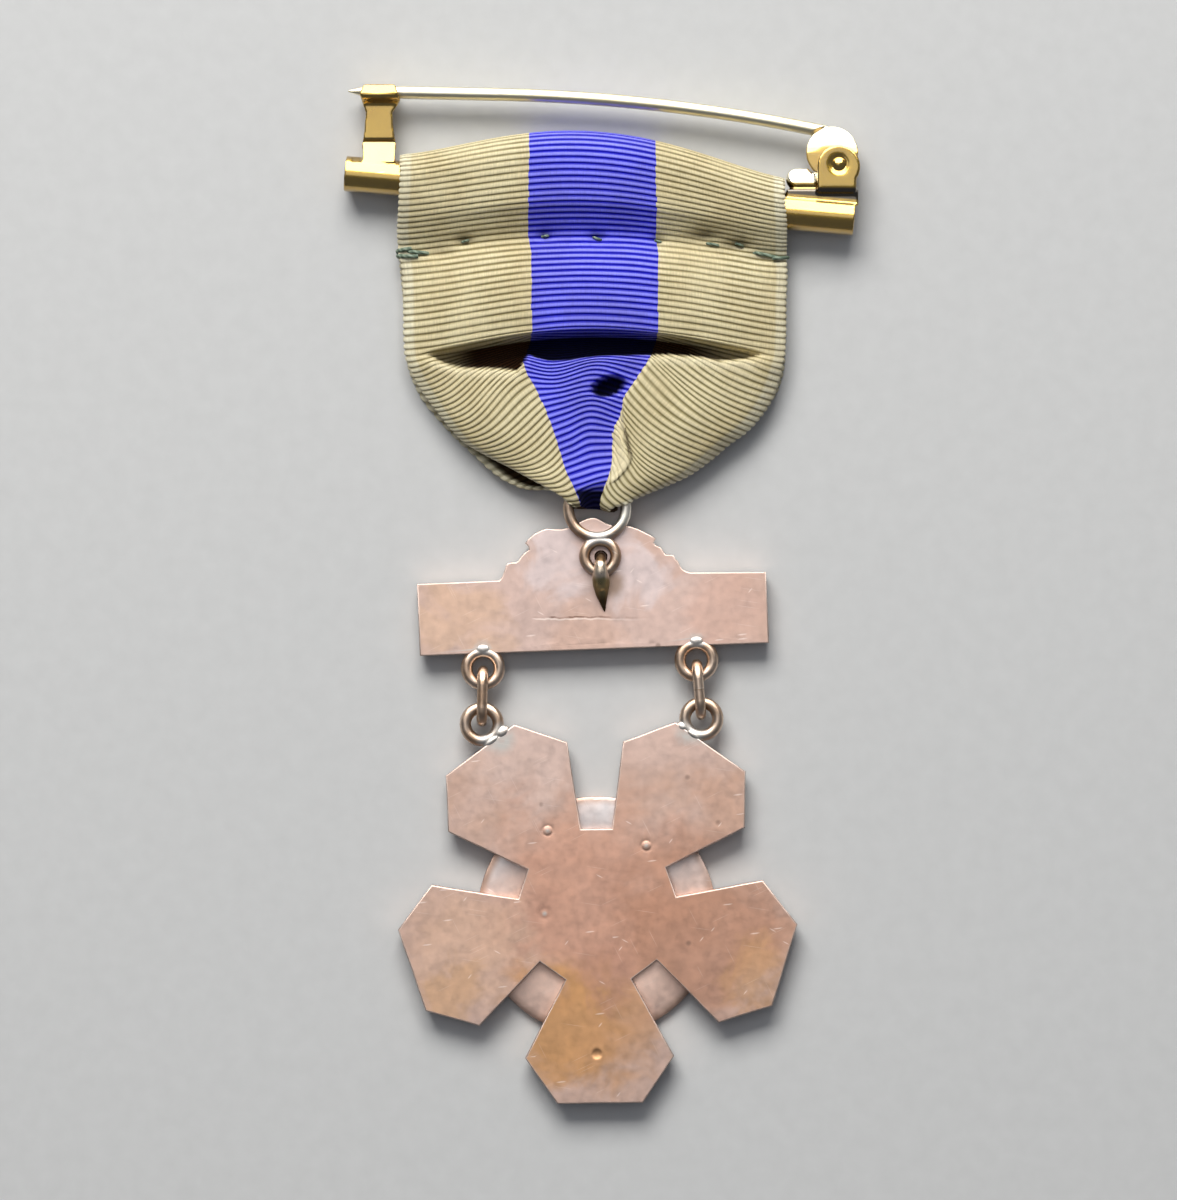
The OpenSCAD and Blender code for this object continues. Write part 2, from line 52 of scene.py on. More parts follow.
# The selvage's outermost rim, how far it is rounded off, and the loops in which the weft cords turn back there
rim_width, rim_round, weft_loop = 0.01, 0.1, 0.12
# Height of the middle of tube and pin above the table
tube_z = 2.2


def smooth_between(knots, rows, at):
    """Monotone cubic through measured rows, so that the cloth never swings past one of them."""
    knots, rows, at = np.asarray(knots, float), np.asarray(rows, float), np.asarray(at, float)
    wide = (-1,) + (1,) * (rows.ndim - 1)
    step = np.diff(knots)
    slope = np.diff(rows, axis=0) / step.reshape(wide)
    total = slope[:-1] + slope[1:]
    same_way = slope[:-1] * slope[1:] > 0
    middle = np.where(same_way, 2 * slope[:-1] * slope[1:] / np.where(same_way, total, 1), 0)
    tangent = np.concatenate([slope[:1], middle, slope[-1:]])
    i = np.clip(np.searchsorted(knots, at, side="right") - 1, 0, len(knots) - 2)
    h = step[i].reshape(wide)
    t = ((at - knots[i]) / step[i]).reshape(wide)
    return ((2 * t**3 - 3 * t**2 + 1) * rows[i] + (t**3 - 2 * t**2 + t) * h * tangent[i]
            + (3 * t**2 - 2 * t**3) * rows[i + 1] + (t**3 - t**2) * h * tangent[i + 1])


def bend(start, end, start_angle, end_angle, t):
    """A rib drawn as a Bezier curve between two points, leaving and arriving at the given angles."""
    start, end = np.array(start), np.array(end)
    reach = 0.4 * np.linalg.norm(end - start)
    a, b = math.radians(start_angle), math.radians(end_angle)
    p1 = start + reach * np.array([math.cos(a), math.sin(a)])
    p2 = end - reach * np.array([math.cos(b), math.sin(b)])
    t = t[:, None]
    return (1 - t)**3 * start + 3 * (1 - t)**2 * t * p1 + 3 * (1 - t) * t**2 * p2 + t**3 * end


def bend_over_lip(edge, lip, stripe, angles, t):
    """A rib from the selvage to the stripe. From the lip of the deep fold on, it runs straight."""
    if lip is None:
        return bend(edge, stripe, *angles, t)
    edge, lip, stripe = np.array(edge), np.array(lip), np.array(stripe)
    outer, inner = np.linalg.norm(lip - edge), np.linalg.norm(stripe - lip)
    share = outer / (outer + inner)
    on_panel = bend(edge, lip, *angles, np.clip(t / share, 0, 1))
    in_fold = lip + np.clip((t - share) / (1 - share), 0, 1)[:, None] * (stripe - lip)
    return np.where((t < share)[:, None], on_panel, in_fold)


def arched_section(row, u):
    """A section that arches evenly from selvage to selvage."""
    left_x, left_y, right_x, right_y, rise, edge_z, middle_z = row
    s = 2 * u - 1
    flat = np.clip(1 - s * s, 0, 1)
    return np.stack([left_x + (right_x - left_x) * u, left_y + (right_y - left_y) * u + rise * flat**1.5,
                     edge_z + (middle_z - edge_z) * (1 - np.abs(s)**3)], axis=-1)


def lower_section(row, u):
    """A section of the gathered part: left panel, blue wedge, the step of the fold, right panel."""
    (offset, left, stripe, inner_1, inner_2, stripe_end, crest, right, left_angles, right_angles, heights) = row
    z_left, z_left_mid, z_stripe, z_blue, z_step, z_crest, z_right_mid, z_right = heights
    out = np.zeros((len(u), 3))
    a = u <= stripe_left
    t = u[a] / stripe_left
    out[a, :2] = bend_over_lip(left, left_lip.get(offset), stripe, left_angles, t)
    out[a, 2] = smooth_between([0, 0.13, 0.5, 1],
                               [z_left, z_left + 0.6 * (z_left_mid - z_left), z_left_mid, z_stripe], t)
    a = (u > stripe_left) & (u <= stripe_right)
    t = (u[a] - stripe_left) / (stripe_right - stripe_left)
    out[a, :2] = smooth_between([0, 0.22, 0.62, 1], [stripe, inner_1, inner_2, stripe_end], t)
    out[a, 2] = smooth_between([0, 0.22, 0.62, 1], [z_stripe, z_blue, z_blue, z_step], t)
    a = (u > stripe_right) & (u < fold_edge)
    t = (u[a] - stripe_right) / (fold_edge - stripe_right)
    out[a, :2] = np.array(stripe_end) + t[:, None] * (np.array(crest) - np.array(stripe_end))
    out[a, 2] = z_step + (z_crest - z_step) * t**1.5
    a = u >= fold_edge
    t = (u[a] - fold_edge) / (1 - fold_edge)
    back_angles = (right_angles[1] + 180, right_angles[0] + 180)
    out[a, :2] = bend_over_lip(right, right_lip.get(offset), crest, back_angles, 1 - t)
    out[a, 2] = smooth_between([0, 0.5, 0.87, 1],
                               [z_crest, z_right_mid, z_right + 0.6 * (z_right_mid - z_right), z_right], t)
    return out


loop_edge, loop_radius = (-18.1, 37.5, 16.3, 35.4), 2.2


def loop_section(angle):
    """A section of the loop round the tube, by its angle from the top."""
    a = math.radians(angle)
    y, z = loop_radius * math.sin(a), tube_z + loop_radius * math.cos(a)
    rise = 2.7 + 0.4 * max(0, y / loop_radius)
    return (loop_edge[0], loop_edge[1] + y, loop_edge[2], loop_edge[3] + y, rise, z, z)


# Sections of the upper part: left x, left y, right x, right y, rise of the middle, height at the selvages, and
# height in the middle
upper_sections = [loop_section(a) for a in (180, 157.5, 135, 112.5, 90, 67.5, 45, 22.5, 0)] + [
    (-18.2, 35.85, 16.4, 34.15, 2.42, 4.15, 4.42),
    (-18.3, 34.2, 16.5, 32.9, 2.15, 3.5, 4.32),
    (-18.4, 32.55, 16.5, 31.65, 1.87, 2.65, 3.35),
    (-18.3, 30.9, 16.5, 30.4, 1.6, 2.0, 2.45),
    (-18.0, 29.1, 16.6, 28.7, 1.7, 2.1, 3.3),
    (-17.9, 26.6, 16.5, 26.3, 1.9, 2.2, 4.0),
    (-17.9, 24.2, 16.5, 23.9, 2.0, 2.2, 4.15),
    (-17.8, 21.9, 16.4, 21.8, 2.1, 2.2, 3.95),
]
# Sections of the gathered part, by ribs below the upper lip: the points where a rib meets the left selvage, the
# blue stripe, two points inside it, the stripe's end, the fold's crest and the right selvage; the angles at which
# it leaves and arrives in each olive panel; and its heights at those places
lower_sections = [
    (3.0, (-17.34, 20.25), (-6.43, 23.22), (-3.92, 23.22), (0.58, 23.31), (4.91, 23.22), (5.3, 23.12), (16.13, 20.11),
     (2, 24), (-22, -12), (2.15, 3.6, 3.7, 3.6, 3.6, 3.7, 3.7, 2.15)),
    (7.0, (-16.45, 18.6), (-6.61, 22.5), (-4.09, 22.41), (0.4, 22.68), (4.72, 22.5), (5.0, 22.45), (15.4, 17.84),
     (2, 34), (-36, -14), (2.15, 3.6, 3.6, 3.5, 3.5, 3.7, 3.7, 2.15)),
    (11.0, (-15.4, 17.1), (-6.88, 21.78), (-4.37, 21.51), (0.14, 22.05), (4.46, 21.78), (4.55, 21.62), (14.13, 15.81),
     (2, 34), (-40, -18), (2.15, 3.7, 3.6, 3.4, 3.4, 3.8, 3.8, 2.15)),
    (14.0, (-14.55, 16.0), (-7.2, 21.15), (-4.72, 20.61), (-0.22, 21.38), (4.0, 20.88), (4.05, 20.95), (12.91, 14.51),
     (0, 30), (-45, -20), (2.15, 3.8, 3.6, 3.4, 3.35, 3.9, 3.9, 2.15)),
    (17.0, (-13.72, 14.95), (-6.75, 19.93), (-4.54, 19.62), (-0.58, 20.52), (3.19, 19.53), (2.9, 19.25), (11.47, 13.46),
     (-3, 26), (-50, -20), (2.1, 3.9, 3.6, 3.35, 3.2, 4.0, 4.0, 2.1)),
    (21.0, (-12.45, 13.6), (-5.62, 17.73), (-3.92, 18.0), (-0.94, 18.63), (2.11, 17.91), (1.75, 17.1), (9.63, 11.93),
     (-5, 38), (-52, -20), (2.05, 3.9, 3.6, 3.3, 3.1, 4.05, 4.0, 2.05)),
    (25.0, (-10.55, 12.45), (-4.72, 15.57), (-3.38, 16.02), (-0.94, 16.83), (1.53, 16.11), (1.98, 14.67), (7.68, 10.61),
     (-5, 46), (-58, -22), (2.1, 3.8, 3.6, 3.3, 3.05, 4.0, 3.9, 2.1)),
    (29.0, (-8.5, 11.45), (-3.96, 13.37), (-2.92, 13.77), (-1.03, 14.58), (0.85, 14.49), (2.48, 12.42), (5.51, 9.6),
     (-8, 52), (-65, -30), (2.4, 3.75, 3.65, 3.35, 3.1, 4.0, 3.9, 2.3)),
    (33.0, (-6.2, 10.18), (-3.28, 11.19), (-2.38, 11.52), (-0.67, 12.06), (0.85, 12.24), (1.3, 10.53), (3.31, 8.68),
     (-5, 50), (-70, -32), (3.0, 3.9, 3.8, 3.5, 3.4, 4.05, 3.9, 2.9)),
    (36.0, (-4.2, 9.08), (-2.52, 9.54), (-1.84, 9.81), (-0.58, 10.26), (0.49, 10.53), (0.22, 9.72), (1.67, 7.99),
     (0, 36), (-72, -38), (3.55, 3.9, 3.9, 3.75, 3.7, 4.0, 3.9, 3.5)),
    (38.0, (-3.05, 8.25), (-2.05, 8.35), (-1.62, 9.0), (-0.72, 9.4), (0.05, 9.45), (-0.25, 8.2), (0.55, 7.6),
     (5, 20), (-60, -40), (3.45, 3.6, 3.55, 3.25, 3.2, 3.5, 3.5, 3.45)),
    (40.5, (-2.35, 7.6), (-1.9, 7.7), (-1.45, 8.05), (-0.8, 8.4), (-0.25, 8.3), (-0.15, 7.5), (0.45, 7.3),
     (10, 15), (-40, -30), (2.5, 2.6, 2.6, 2.5, 2.5, 2.6, 2.6, 2.5)),
]
# Where those ribs cross the lower lip of the deep fold, by their offset
left_lip = {3.0: (-15.2, 20.95), 7.0: (-12.6, 20.5), 11.0: (-10.0, 20.45), 14.0: (-8.3, 20.3)}
right_lip = {3.0: (13.0, 21.15), 7.0: (7.6, 21.6)}
# Sections of the front length, from the turn inside the ring up to the tube
front_sections = [
    (-2.6, 7.75, 1.1, 7.45, 0.1, 1.6, 1.5),
    (-3.1, 8.6, 1.6, 8.2, 0.4, 1.25, 1.2),
    (-4.3, 9.4, 2.8, 9.0, 1.2, 0.95, 0.95),
    (-6.3, 9.42, 4.6, 9.85, 2.0, 0.6, 0.6),
    (-8.5, 10.15, 7.2, 11.2, 2.6, 0.3, 0.3),
    (-11.1, 12.15, 10.2, 13.3, 2.6, 0.08, 0.08),
    (-14.2, 15.2, 13.4, 16.1, 2.0, 0.02, 0.02),
    (-16.6, 18.3, 15.7, 18.3, 1.4, 0.02, 0.02),
    (-17.6, 21.2, 16.4, 21.2, 1.0, 0.02, 0.02),
    (-17.9, 26.4, 16.5, 26.2, 0.9, 0.02, 0.02),
    (-18.3, 30.8, 16.5, 30.3, 1.2, 0.1, 0.1),
    (-18.4, 33.5, 16.5, 32.3, 0.9, 0.05, 0.05),
    (-18.2, 35.8, 16.4, 34.2, 2.0, 0.02, 0.02),
]
front_sections.append(loop_section(180))

# The deep fold: the arch of its upper lip, from end to end, its floor, the pit below it, and its lower lip's edge
lip_middle_x, lip_half, lip_end_y, lip_rise = -0.7, 17.1, 21.9, 2.08
fold_floor_z, pit_depth = 0.95, 1.7
lip_x = [
    -17.5, -15.97, -14.17, -12.82, -9.22, -7.55, -6.95, -6.52, -5.62, -4.72, -3.38, -2.02, -0.22, 4.27, 6.08,
    8.78, 10.57, 13.28, 13.9, 15.5,
]
lip_y = [
    21.7, 21.4, 20.6, 20.25, 20.15, 19.95, 21.15, 21.35, 21.0, 20.8, 20.85, 21.05, 21.25, 21.35, 21.4, 21.2,
    20.85, 21.0, 21.15, 21.7,
]


def distance_along(sections, columns):
    """Millimetres from the first section to each of them, down the middle of the band."""
    middle = np.argmin(np.abs(columns - 0.5))
    line = np.array([s[middle] for s in sections])
    return np.concatenate([[0], np.cumsum(np.linalg.norm(np.diff(line, axis=0), axis=1))])


def ease(x):
    x = np.clip(x, 0, 1)
    return x * x * (3 - 2 * x)


def deep_fold(p, upper_turn=0.5, lower_turn=0.38, left_end=2.4, right_end=3.2):
    """How far the cloth of the back is sunk into the fold: 1 at its bottom, 0 on the panels."""
    x, y = p[..., 0], p[..., 1]
    s = np.clip((x - lip_middle_x) / lip_half, -1, 1)
    upper = lip_end_y + lip_rise * (1 - s * s)**1.5
    lower = np.interp(x, lip_x, lip_y)
    inside_upper = np.clip((upper - y) / upper_turn, 0, 1)
    inside_lower = np.clip((y - lower) / lower_turn, 0, 1)
    depth = np.minimum(1 - np.sqrt(1 - inside_upper**2), 1 - np.sqrt(1 - inside_lower**2))
    return depth * ease((x + 16.3) / left_end) * ease((15.2 - x) / right_end)


def dimple(p):
    """The small pit below the deep fold, in the blue cloth."""
    x = p[..., 0] - 0.55
    return ease((1.2 - np.hypot(x / 1.35, (p[..., 1] - 18.72 - 0.22 * x) / 0.85)) / 0.4)


def push_off_wire(p, clearance):
    """Moves points of the cloth out of the ring's wire, so that the cloth lies round it."""
    flat = p[..., :2] - np.array(wire_ring_centre)
    reach = np.linalg.norm(flat, axis=-1, keepdims=True)
    nearest = np.concatenate([np.array(wire_ring_centre) + flat / reach * wire_ring_radius,
                              np.full_like(reach, wire_ring_z)], axis=-1)
    away = p - nearest
    gap = np.linalg.norm(away, axis=-1, keepdims=True)
    return np.where(gap < clearance, nearest + away / gap * clearance, p)


def slow_waves(a, b, seed):
    """Gentle unevenness of hand-folded cloth, from a few sine waves."""
    rng = np.random.default_rng(seed)
    total = 0
    for _ in range(7):
        fa, fb, ph = rng.uniform(-1, 1), rng.uniform(-1, 1), rng.uniform(0, 6.28)
        total = total + np.sin(a * fa + b * fb + ph)
    return total / 7


def unit(v):
    return v / np.maximum(np.linalg.norm(v, axis=-1, keepdims=True), 1e-9)


def new_object(name, data):
    thing = bpy.data.objects.new(name, data)
    bpy.context.scene.collection.objects.link(thing)
    return thing


def mesh_of(name, points, faces):
    """A mesh from points in millimetres."""
    mesh = bpy.data.meshes.new(name)
    mesh.from_pydata((np.array(points) * MM).tolist(), [], faces)
    return mesh


def mark(mesh, name, values):
    """Gives each point of a mesh a value that its material can read."""
    mesh.attributes.new(name, "FLOAT", "POINT").data.foreach_set("value", np.array(values, np.float32))


def band_mesh(name, places, ribs, u, fold, amplitude):
    """Closed shell of ribbed cloth from a grid of places on its smooth outer face."""
    n = unit(np.cross(np.gradient(places, ribs, axis=0), np.gradient(places, u, axis=1)))
    soft = n.copy()
    for _ in range(6):
        soft[1:-1] = (soft[:-2] + 2 * soft[1:-1] + soft[2:]) / 4
        soft[:, 1:-1] = (soft[:, :-2] + 2 * soft[:, 1:-1] + soft[:, 2:]) / 4
    phase = ribs - np.floor(ribs + 1e-9)
    groove = (1 - np.sqrt(np.clip(1 - (2 * np.abs(phase - 0.5))**2.2, 0, 1)))[:, None]
    from_edge = np.minimum(u, 1 - u)[None, :]
    drop = rib_depth * amplitude * groove * (1 - 0.35 * ease(1 - from_edge / selvage_width))
    rim = ease(1 - from_edge / rim_width)
    # Each weft cord turns back at the selvage, which leaves a row of small loops
    side = np.where(u < 0.5, -1, 1)[None, :]
    turned_back = unit(np.gradient(places, u, axis=1)) * (side * rim * weft_loop * (1 - 1.6 * groove))[..., None]
    outer = places - n * (drop + rim_round * rim)[..., None] + turned_back
    inner = places - unit(soft) * (cloth_wall - rim_round * rim - 0.5 * drop * (1 - rim))[..., None] + turned_back
    rows, cols = places.shape[:2]
    index = np.arange(rows * cols).reshape(rows, cols)
    a, b, c, d = index[:-1, :-1], index[:-1, 1:], index[1:, 1:], index[1:, :-1]
    faces = [np.stack([a, d, c, b], axis=-1).reshape(-1, 4),
             np.stack([a, b, c, d], axis=-1).reshape(-1, 4) + rows * cols]
    for line, flip in ((index[:, 0], False), (index[:, -1], True), (index[0], True), (index[-1], False)):
        far = line + rows * cols
        quad = np.stack([line[:-1], far[:-1], far[1:], line[1:]], axis=-1)
        faces.append(quad[:, ::-1] if flip else quad)
    points = np.concatenate([outer.reshape(-1, 3), inner.reshape(-1, 3)])
    mesh = mesh_of(name, points, np.concatenate(faces).tolist())
    uv = np.stack(np.broadcast_arrays(u[None, :], ribs[:, None]), axis=-1).reshape(-1, 2)
    corner = np.zeros(len(mesh.loops), np.int32)
    mesh.loops.foreach_get("vertex_index", corner)
    layer = mesh.uv_layers.new(name="weave")
    layer.data.foreach_set("uv", uv[corner % len(uv)].astype(np.float32).ravel())
    mark(mesh, "painted_shade_and_highlight", np.tile(fold.ravel(), 2))
    mesh.shade_smooth()
    return new_object(name, mesh)


columns = np.concatenate([[0, 0.005, 0.011, 0.019, 0.029, 0.041], np.linspace(0.055, stripe_left, 22),
                          np.linspace(stripe_left, stripe_right, 27)[1:], np.linspace(stripe_right, fold_edge, 8)[1:],
                          np.linspace(fold_edge, 0.945, 21)[1:], [0.959, 0.971, 0.981, 0.989, 0.995, 1]])
sections = [arched_section(row, columns) for row in upper_sections]
at_rib = list(distance_along(sections, columns) / rib_pitch)
upper_lip = at_rib[-1]
sections += [lower_section(row, columns) for row in lower_sections]
at_rib += [upper_lip + row[0] for row in lower_sections]
rib_phases = np.array([0, 0.09, 0.28, 0.5, 0.72, 0.91])
ribs = (np.arange(int(at_rib[-1]))[:, None] + rib_phases[None, :]).ravel()


def past_lip(start, over):
    """Fades in from a number of ribs below the upper lip of the deep fold, over some ribs more."""
    return ease((ribs - upper_lip - start) / over)[:, None]


places = smooth_between(at_rib, np.array(sections), ribs)
X, Y, Z = places[..., 0], places[..., 1], places[..., 2]
grid_u, grid_k = np.broadcast_arrays(columns[None, :], ribs[:, None])
below_tube = ease((ribs - 12) / 6)[:, None] * ease((at_rib[-1] - 6 - ribs) / 6)[:, None]
Y += 0.1 * below_tube * slow_waves(grid_u * 16, grid_k * 0.5, 3)
Z += 0.1 * below_tube * slow_waves(grid_u * 12, grid_k * 0.4, 5)
# The ribs run wavy where the stitches have drawn the cloth up, most of all at the right
drawn_up = np.exp(-((Y - 29.6 - 0.05 * X) / 2.2)**2) * (0.3 + 0.7 * ease((grid_u - 0.5) / 0.3))
Y += 0.16 * drawn_up * slow_waves(grid_u * 46, grid_k * 0.25, 7)
Z += 0.12 * drawn_up * slow_waves(grid_u * 40, grid_k * 0.3, 8)
# Dents that the running stitch pulls into the cloth: x, y, depth, width
stitch_dents = [
    (-14.6, 30.8, 0.2, 1.4), (-12.38, 31.86, 0.45, 0.7), (-5.17, 32.31, 0.4, 0.6), (-0.49, 32.13, 0.4, 0.7),
    (5.0, 31.95, 0.25, 0.6), (9.2, 32.3, 0.5, 1.1), (12.3, 31.5, 0.5, 1.0), (14.6, 30.4, 0.2, 1.3),
]
for x, y, depth, wide in stitch_dents:
    Z -= depth * np.exp(-((X - x) / wide)**2 - ((Y - y) / 0.55)**2)
Z -= (Z - fold_floor_z) * deep_fold(places) * past_lip(-2, 1.5)
pit = dimple(places) * past_lip(9, 2) * (columns > 0.4) * (columns < 0.68)
Z -= pit_depth * pit
# The edge of the fold is crumpled, with the olive cloth's under side showing
strip = ease((columns - stripe_right) / 0.008) * ease((fold_edge + 0.006 - columns) / 0.008)
crumple = strip[None, :] * past_lip(23, 3) * ease((upper_lip + 36 - ribs) / 3)[:, None]
Z += crumple * (0.22 + 0.4 * slow_waves(grid_u * 400, grid_k * 3.0, 11))
X += 0.34 * crumple * slow_waves(grid_u * 300, grid_k * 2.2, 12)
places = push_off_wire(places, wire_clearance)
X, Y = places[..., 0], places[..., 1]
# Painted shade: the fold is painted darkest in its middle, still brownish at its two ends; the stitches' dents get it
# too
shaded = deep_fold(places, 0.75, 0.3, 5.0, 8.0) * past_lip(-2, 1.5)
painted_dent_shade = [0.55 * min(depth / 0.4, 1) * np.exp(-((X - x) / wide)**2 - ((Y - y - 0.1) / 0.35)**2)
         for x, y, depth, wide in stitch_dents]
# The last ribs, and the blue cloth between the two tongues, go down through the ring and are painted dark as shade
tail = 0.8 * ease((ribs - (at_rib[-1] - 4)) / 4)[:, None]
blue_side = (columns > stripe_left + 0.008) * (columns < fold_edge)
down_the_ring = ease((9.75 - Y) / 0.55) * blue_side * past_lip(33, 1.5)
# A narrow line of painted shade, to the right of the crumpled edge, stands for a gap there
beside = X - np.interp(-Y, [-15.2, -14.5, -12.2, -10.8], [1.9, 2.12, 2.5, 2.1])
gap = 0.85 * np.exp(-(beside / 0.17)**2) * ease((15.0 - Y) / 0.8) * ease((Y - 12.0) / 0.8) * (columns > 0.68)
# The pit in the blue cloth is painted dark as shade as well
fold = np.maximum.reduce(np.broadcast_arrays(shaded, pit, *painted_dent_shade, tail, down_the_ring, gap))
# Below zero is painted highlight: where the cloth rolls over the lower lip, and along the crumpled edge
from_lip = (np.interp(X, lip_x, lip_y) - Y - 0.25) / 0.5
painted_lip_highlight = 0.9 * np.exp(-from_lip**2) * past_lip(2, 2) * ((columns < 0.33) | (columns > 0.67))
fold = np.where(fold < 0.04, -np.maximum(painted_lip_highlight, crumple), fold)
back_band = band_mesh("ribbon_back", places, ribs, columns, fold, 1 - 0.5 * crumple)

# The front starts at the back's last row, inside the ring. Only its left selvage shows, turned up a little, as a light
# cord beyond a gap painted dark as shade; its first ribs, inside the ring, are painted dark as shade too
kept = np.r_[0:7, 8:len(columns) - 6:2, len(columns) - 6:len(columns)]
front_columns = columns[kept]
sections = [places[-1][kept]] + [arched_section(row, front_columns) for row in front_sections]
front_rib = distance_along(sections, front_columns) / rib_pitch
front_ribs = (np.arange(int(front_rib[-1]) + 1)[:, None] + np.array([0, 0.14, 0.5, 0.86])[None, :]).ravel()
front_ribs = front_ribs[front_ribs <= front_rib[-1]]
places = push_off_wire(smooth_between(front_rib, np.array(sections), front_ribs), wire_clearance)
low_down = ease((13.5 - places[..., 1]) / 1.5)
in_gap = 0.97 * low_down * ease((front_columns - 0.022) / 0.012)
painted_front_shade = np.maximum(0.8 * ease(1 - front_ribs / 8)[:, None], in_gap)
turned_up = low_down * ease((0.034 - front_columns) / 0.02) * ease((front_ribs - 4) / 5)[:, None]
places[..., 2] += 0.75 * turned_up
front_band = band_mesh("ribbon_front", places, front_ribs, front_columns, painted_front_shade, 1)


def new_material(name):
    material = bpy.data.materials.new(name)
    material.use_nodes = True
    tree = material.node_tree
    tree.nodes.clear()
    shader = tree.nodes.new("ShaderNodeBsdfPrincipled")
    output = tree.nodes.new("ShaderNodeOutputMaterial")
    tree.links.new(shader.outputs[0], output.inputs["Surface"])
    return material, tree, shader


def place(tree, kind, values=(), **settings):
    """Adds a node, with settings on the node and values or links on its inputs by position or name."""
    node = tree.nodes.new(kind)
    for key, value in settings.items():
        setattr(node, key, value)
    for key, value in (values.items() if isinstance(values, dict) else enumerate(values)):
        if isinstance(value, bpy.types.NodeSocket):
            tree.links.new(value, node.inputs[key])
        else:
            node.inputs[key].default_value = value
    return node


def math_of(tree, operation, value, *others):
    """Arithmetic on one value, or on several from left to right."""
    for other in [(o,) for o in others] or [()]:
        value = place(tree, "ShaderNodeMath", (value, *other), operation=operation).outputs[0]
    return value


def times(tree, *values):
    return math_of(tree, "MULTIPLY", *values)


def plus(tree, *values):
    return math_of(tree, "ADD", *values)


def range_of(tree, value, low, high, out_low=0.0, out_high=1.0):
    values = (value, low, high, out_low, out_high)
    return place(tree, "ShaderNodeMapRange", values, interpolation_type="SMOOTHSTEP").outputs[0]


def mix_of(tree, factor, a, b, blend="MIX"):
    a, b = (c if isinstance(c, bpy.types.NodeSocket) else (*c, 1.0) for c in (a, b))
    return place(tree, "ShaderNodeMix", {0: factor, 6: a, 7: b}, data_type="RGBA", blend_type=blend).outputs[2]


def object_spot(tree):
    return place(tree, "ShaderNodeTexCoord").outputs["Object"]


def xyz_of(tree, spot):
    return place(tree, "ShaderNodeSeparateXYZ", [spot]).outputs[:3]


def noise_of(tree, spot, scale, detail, roughness=0.5, distortion=0.0, output=0):
    values = {"Vector": spot, "Scale": scale, "Detail": detail, "Roughness": roughness, "Distortion": distortion}
    return place(tree, "ShaderNodeTexNoise", values).outputs[output]


def finish_with(tree, shader, colour, roughness, *bump):
    """Gives a shader its colour, its roughness and a bump with a strength, a depth and a height."""
    tree.links.new(colour, shader.inputs["Base Color"])
    tree.links.new(roughness, shader.inputs["Roughness"])
    bumped = place(tree, "ShaderNodeBump", dict(zip(("Strength", "Distance", "Height"), bump)))
    tree.links.new(bumped.outputs[0], shader.inputs["Normal"])


def fit(piece, material, slot, *nodes, body="badge"):
    piece.data.materials.append(material)
    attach(piece, body)
    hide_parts(*nodes)


# Cord and groove colours differ: the darker groove colours are painted shade, the lavender of the blue cords a painted
# sheen
olive_cord, olive_groove_shade = (0.7, 0.615, 0.385), (0.27, 0.225, 0.105)
blue_cord_sheen, blue_groove_shade = (0.24, 0.245, 0.96), (0.0, 0.0, 0.4)
selvage_olive, selvage_groove_shade = (0.75, 0.7, 0.51), (0.32, 0.28, 0.17)
grosgrain, tree, shader = new_material("grosgrain ribbon")
across_u, along_v = xyz_of(tree, place(tree, "ShaderNodeUVMap", uv_map="weave").outputs[0])[:2]
from_middle = math_of(tree, "ABSOLUTE", math_of(tree, "SUBTRACT", math_of(tree, "FRACT", along_v), 0.5))
olive_shade, blue_shade = range_of(tree, from_middle, 0.13, 0.45), range_of(tree, from_middle, 0.06, 0.38)
# The stripe's boundary steps in and out by a thread from rib to rib
each_rib = math_of(tree, "FLOOR", along_v)
step_in = place(tree, "ShaderNodeTexWhiteNoise", {1: each_rib}, noise_dimensions="1D").outputs[0]
shifted = plus(tree, across_u, times(tree, math_of(tree, "SUBTRACT", step_in, 0.5), 0.0035))
is_blue = times(tree, math_of(tree, "GREATER_THAN", shifted, stripe_left),
                math_of(tree, "LESS_THAN", shifted, stripe_right))
edge_at = math_of(tree, "MINIMUM", across_u, math_of(tree, "SUBTRACT", 1.0, across_u))
in_selvage = range_of(tree, edge_at, 0.031, 0.022)
# Fine warp threads, about seven to a millimetre, laid over each weft cord
stretch = [times(tree, across_u, 245.0), times(tree, along_v, 0.5), 0.0]
threads = noise_of(tree, place(tree, "ShaderNodeCombineXYZ", stretch).outputs[0], 1.0, 1.0)
spot = object_spot(tree)
soil, rubbed = noise_of(tree, spot, 160.0, 4.0, 0.6), noise_of(tree, spot, 190.0, 2.0)
cord_colour = mix_of(tree, is_blue, mix_of(tree, in_selvage, olive_cord, selvage_olive), blue_cord_sheen)
groove_shade_colour = mix_of(tree, is_blue, mix_of(tree, in_selvage, olive_groove_shade, selvage_groove_shade), blue_groove_shade)
# Where the cloth is rubbed, the olive ribs are flattened and their grooves filled with fluff. Under painted highlight
# they are flattened too
# Painted light: this attribute is painted shade above zero and painted highlight below zero
painted_shade_and_highlight = place(tree, "ShaderNodeAttribute", attribute_name="painted_shade_and_highlight").outputs["Fac"]
painted_highlight = range_of(tree, painted_shade_and_highlight, 0.0, -1.0)
olive_shade = times(tree, olive_shade, range_of(tree, rubbed, 0.38, 0.58, 0.72, 1.0),
                    range_of(tree, painted_highlight, 0.0, 1.0, 1.0, 0.45))
# Painted shade in the grooves and painted sheen on the blue cords, by the place across each rib
colour = mix_of(tree, mix_of(tree, is_blue, olive_shade, blue_shade), cord_colour, groove_shade_colour)
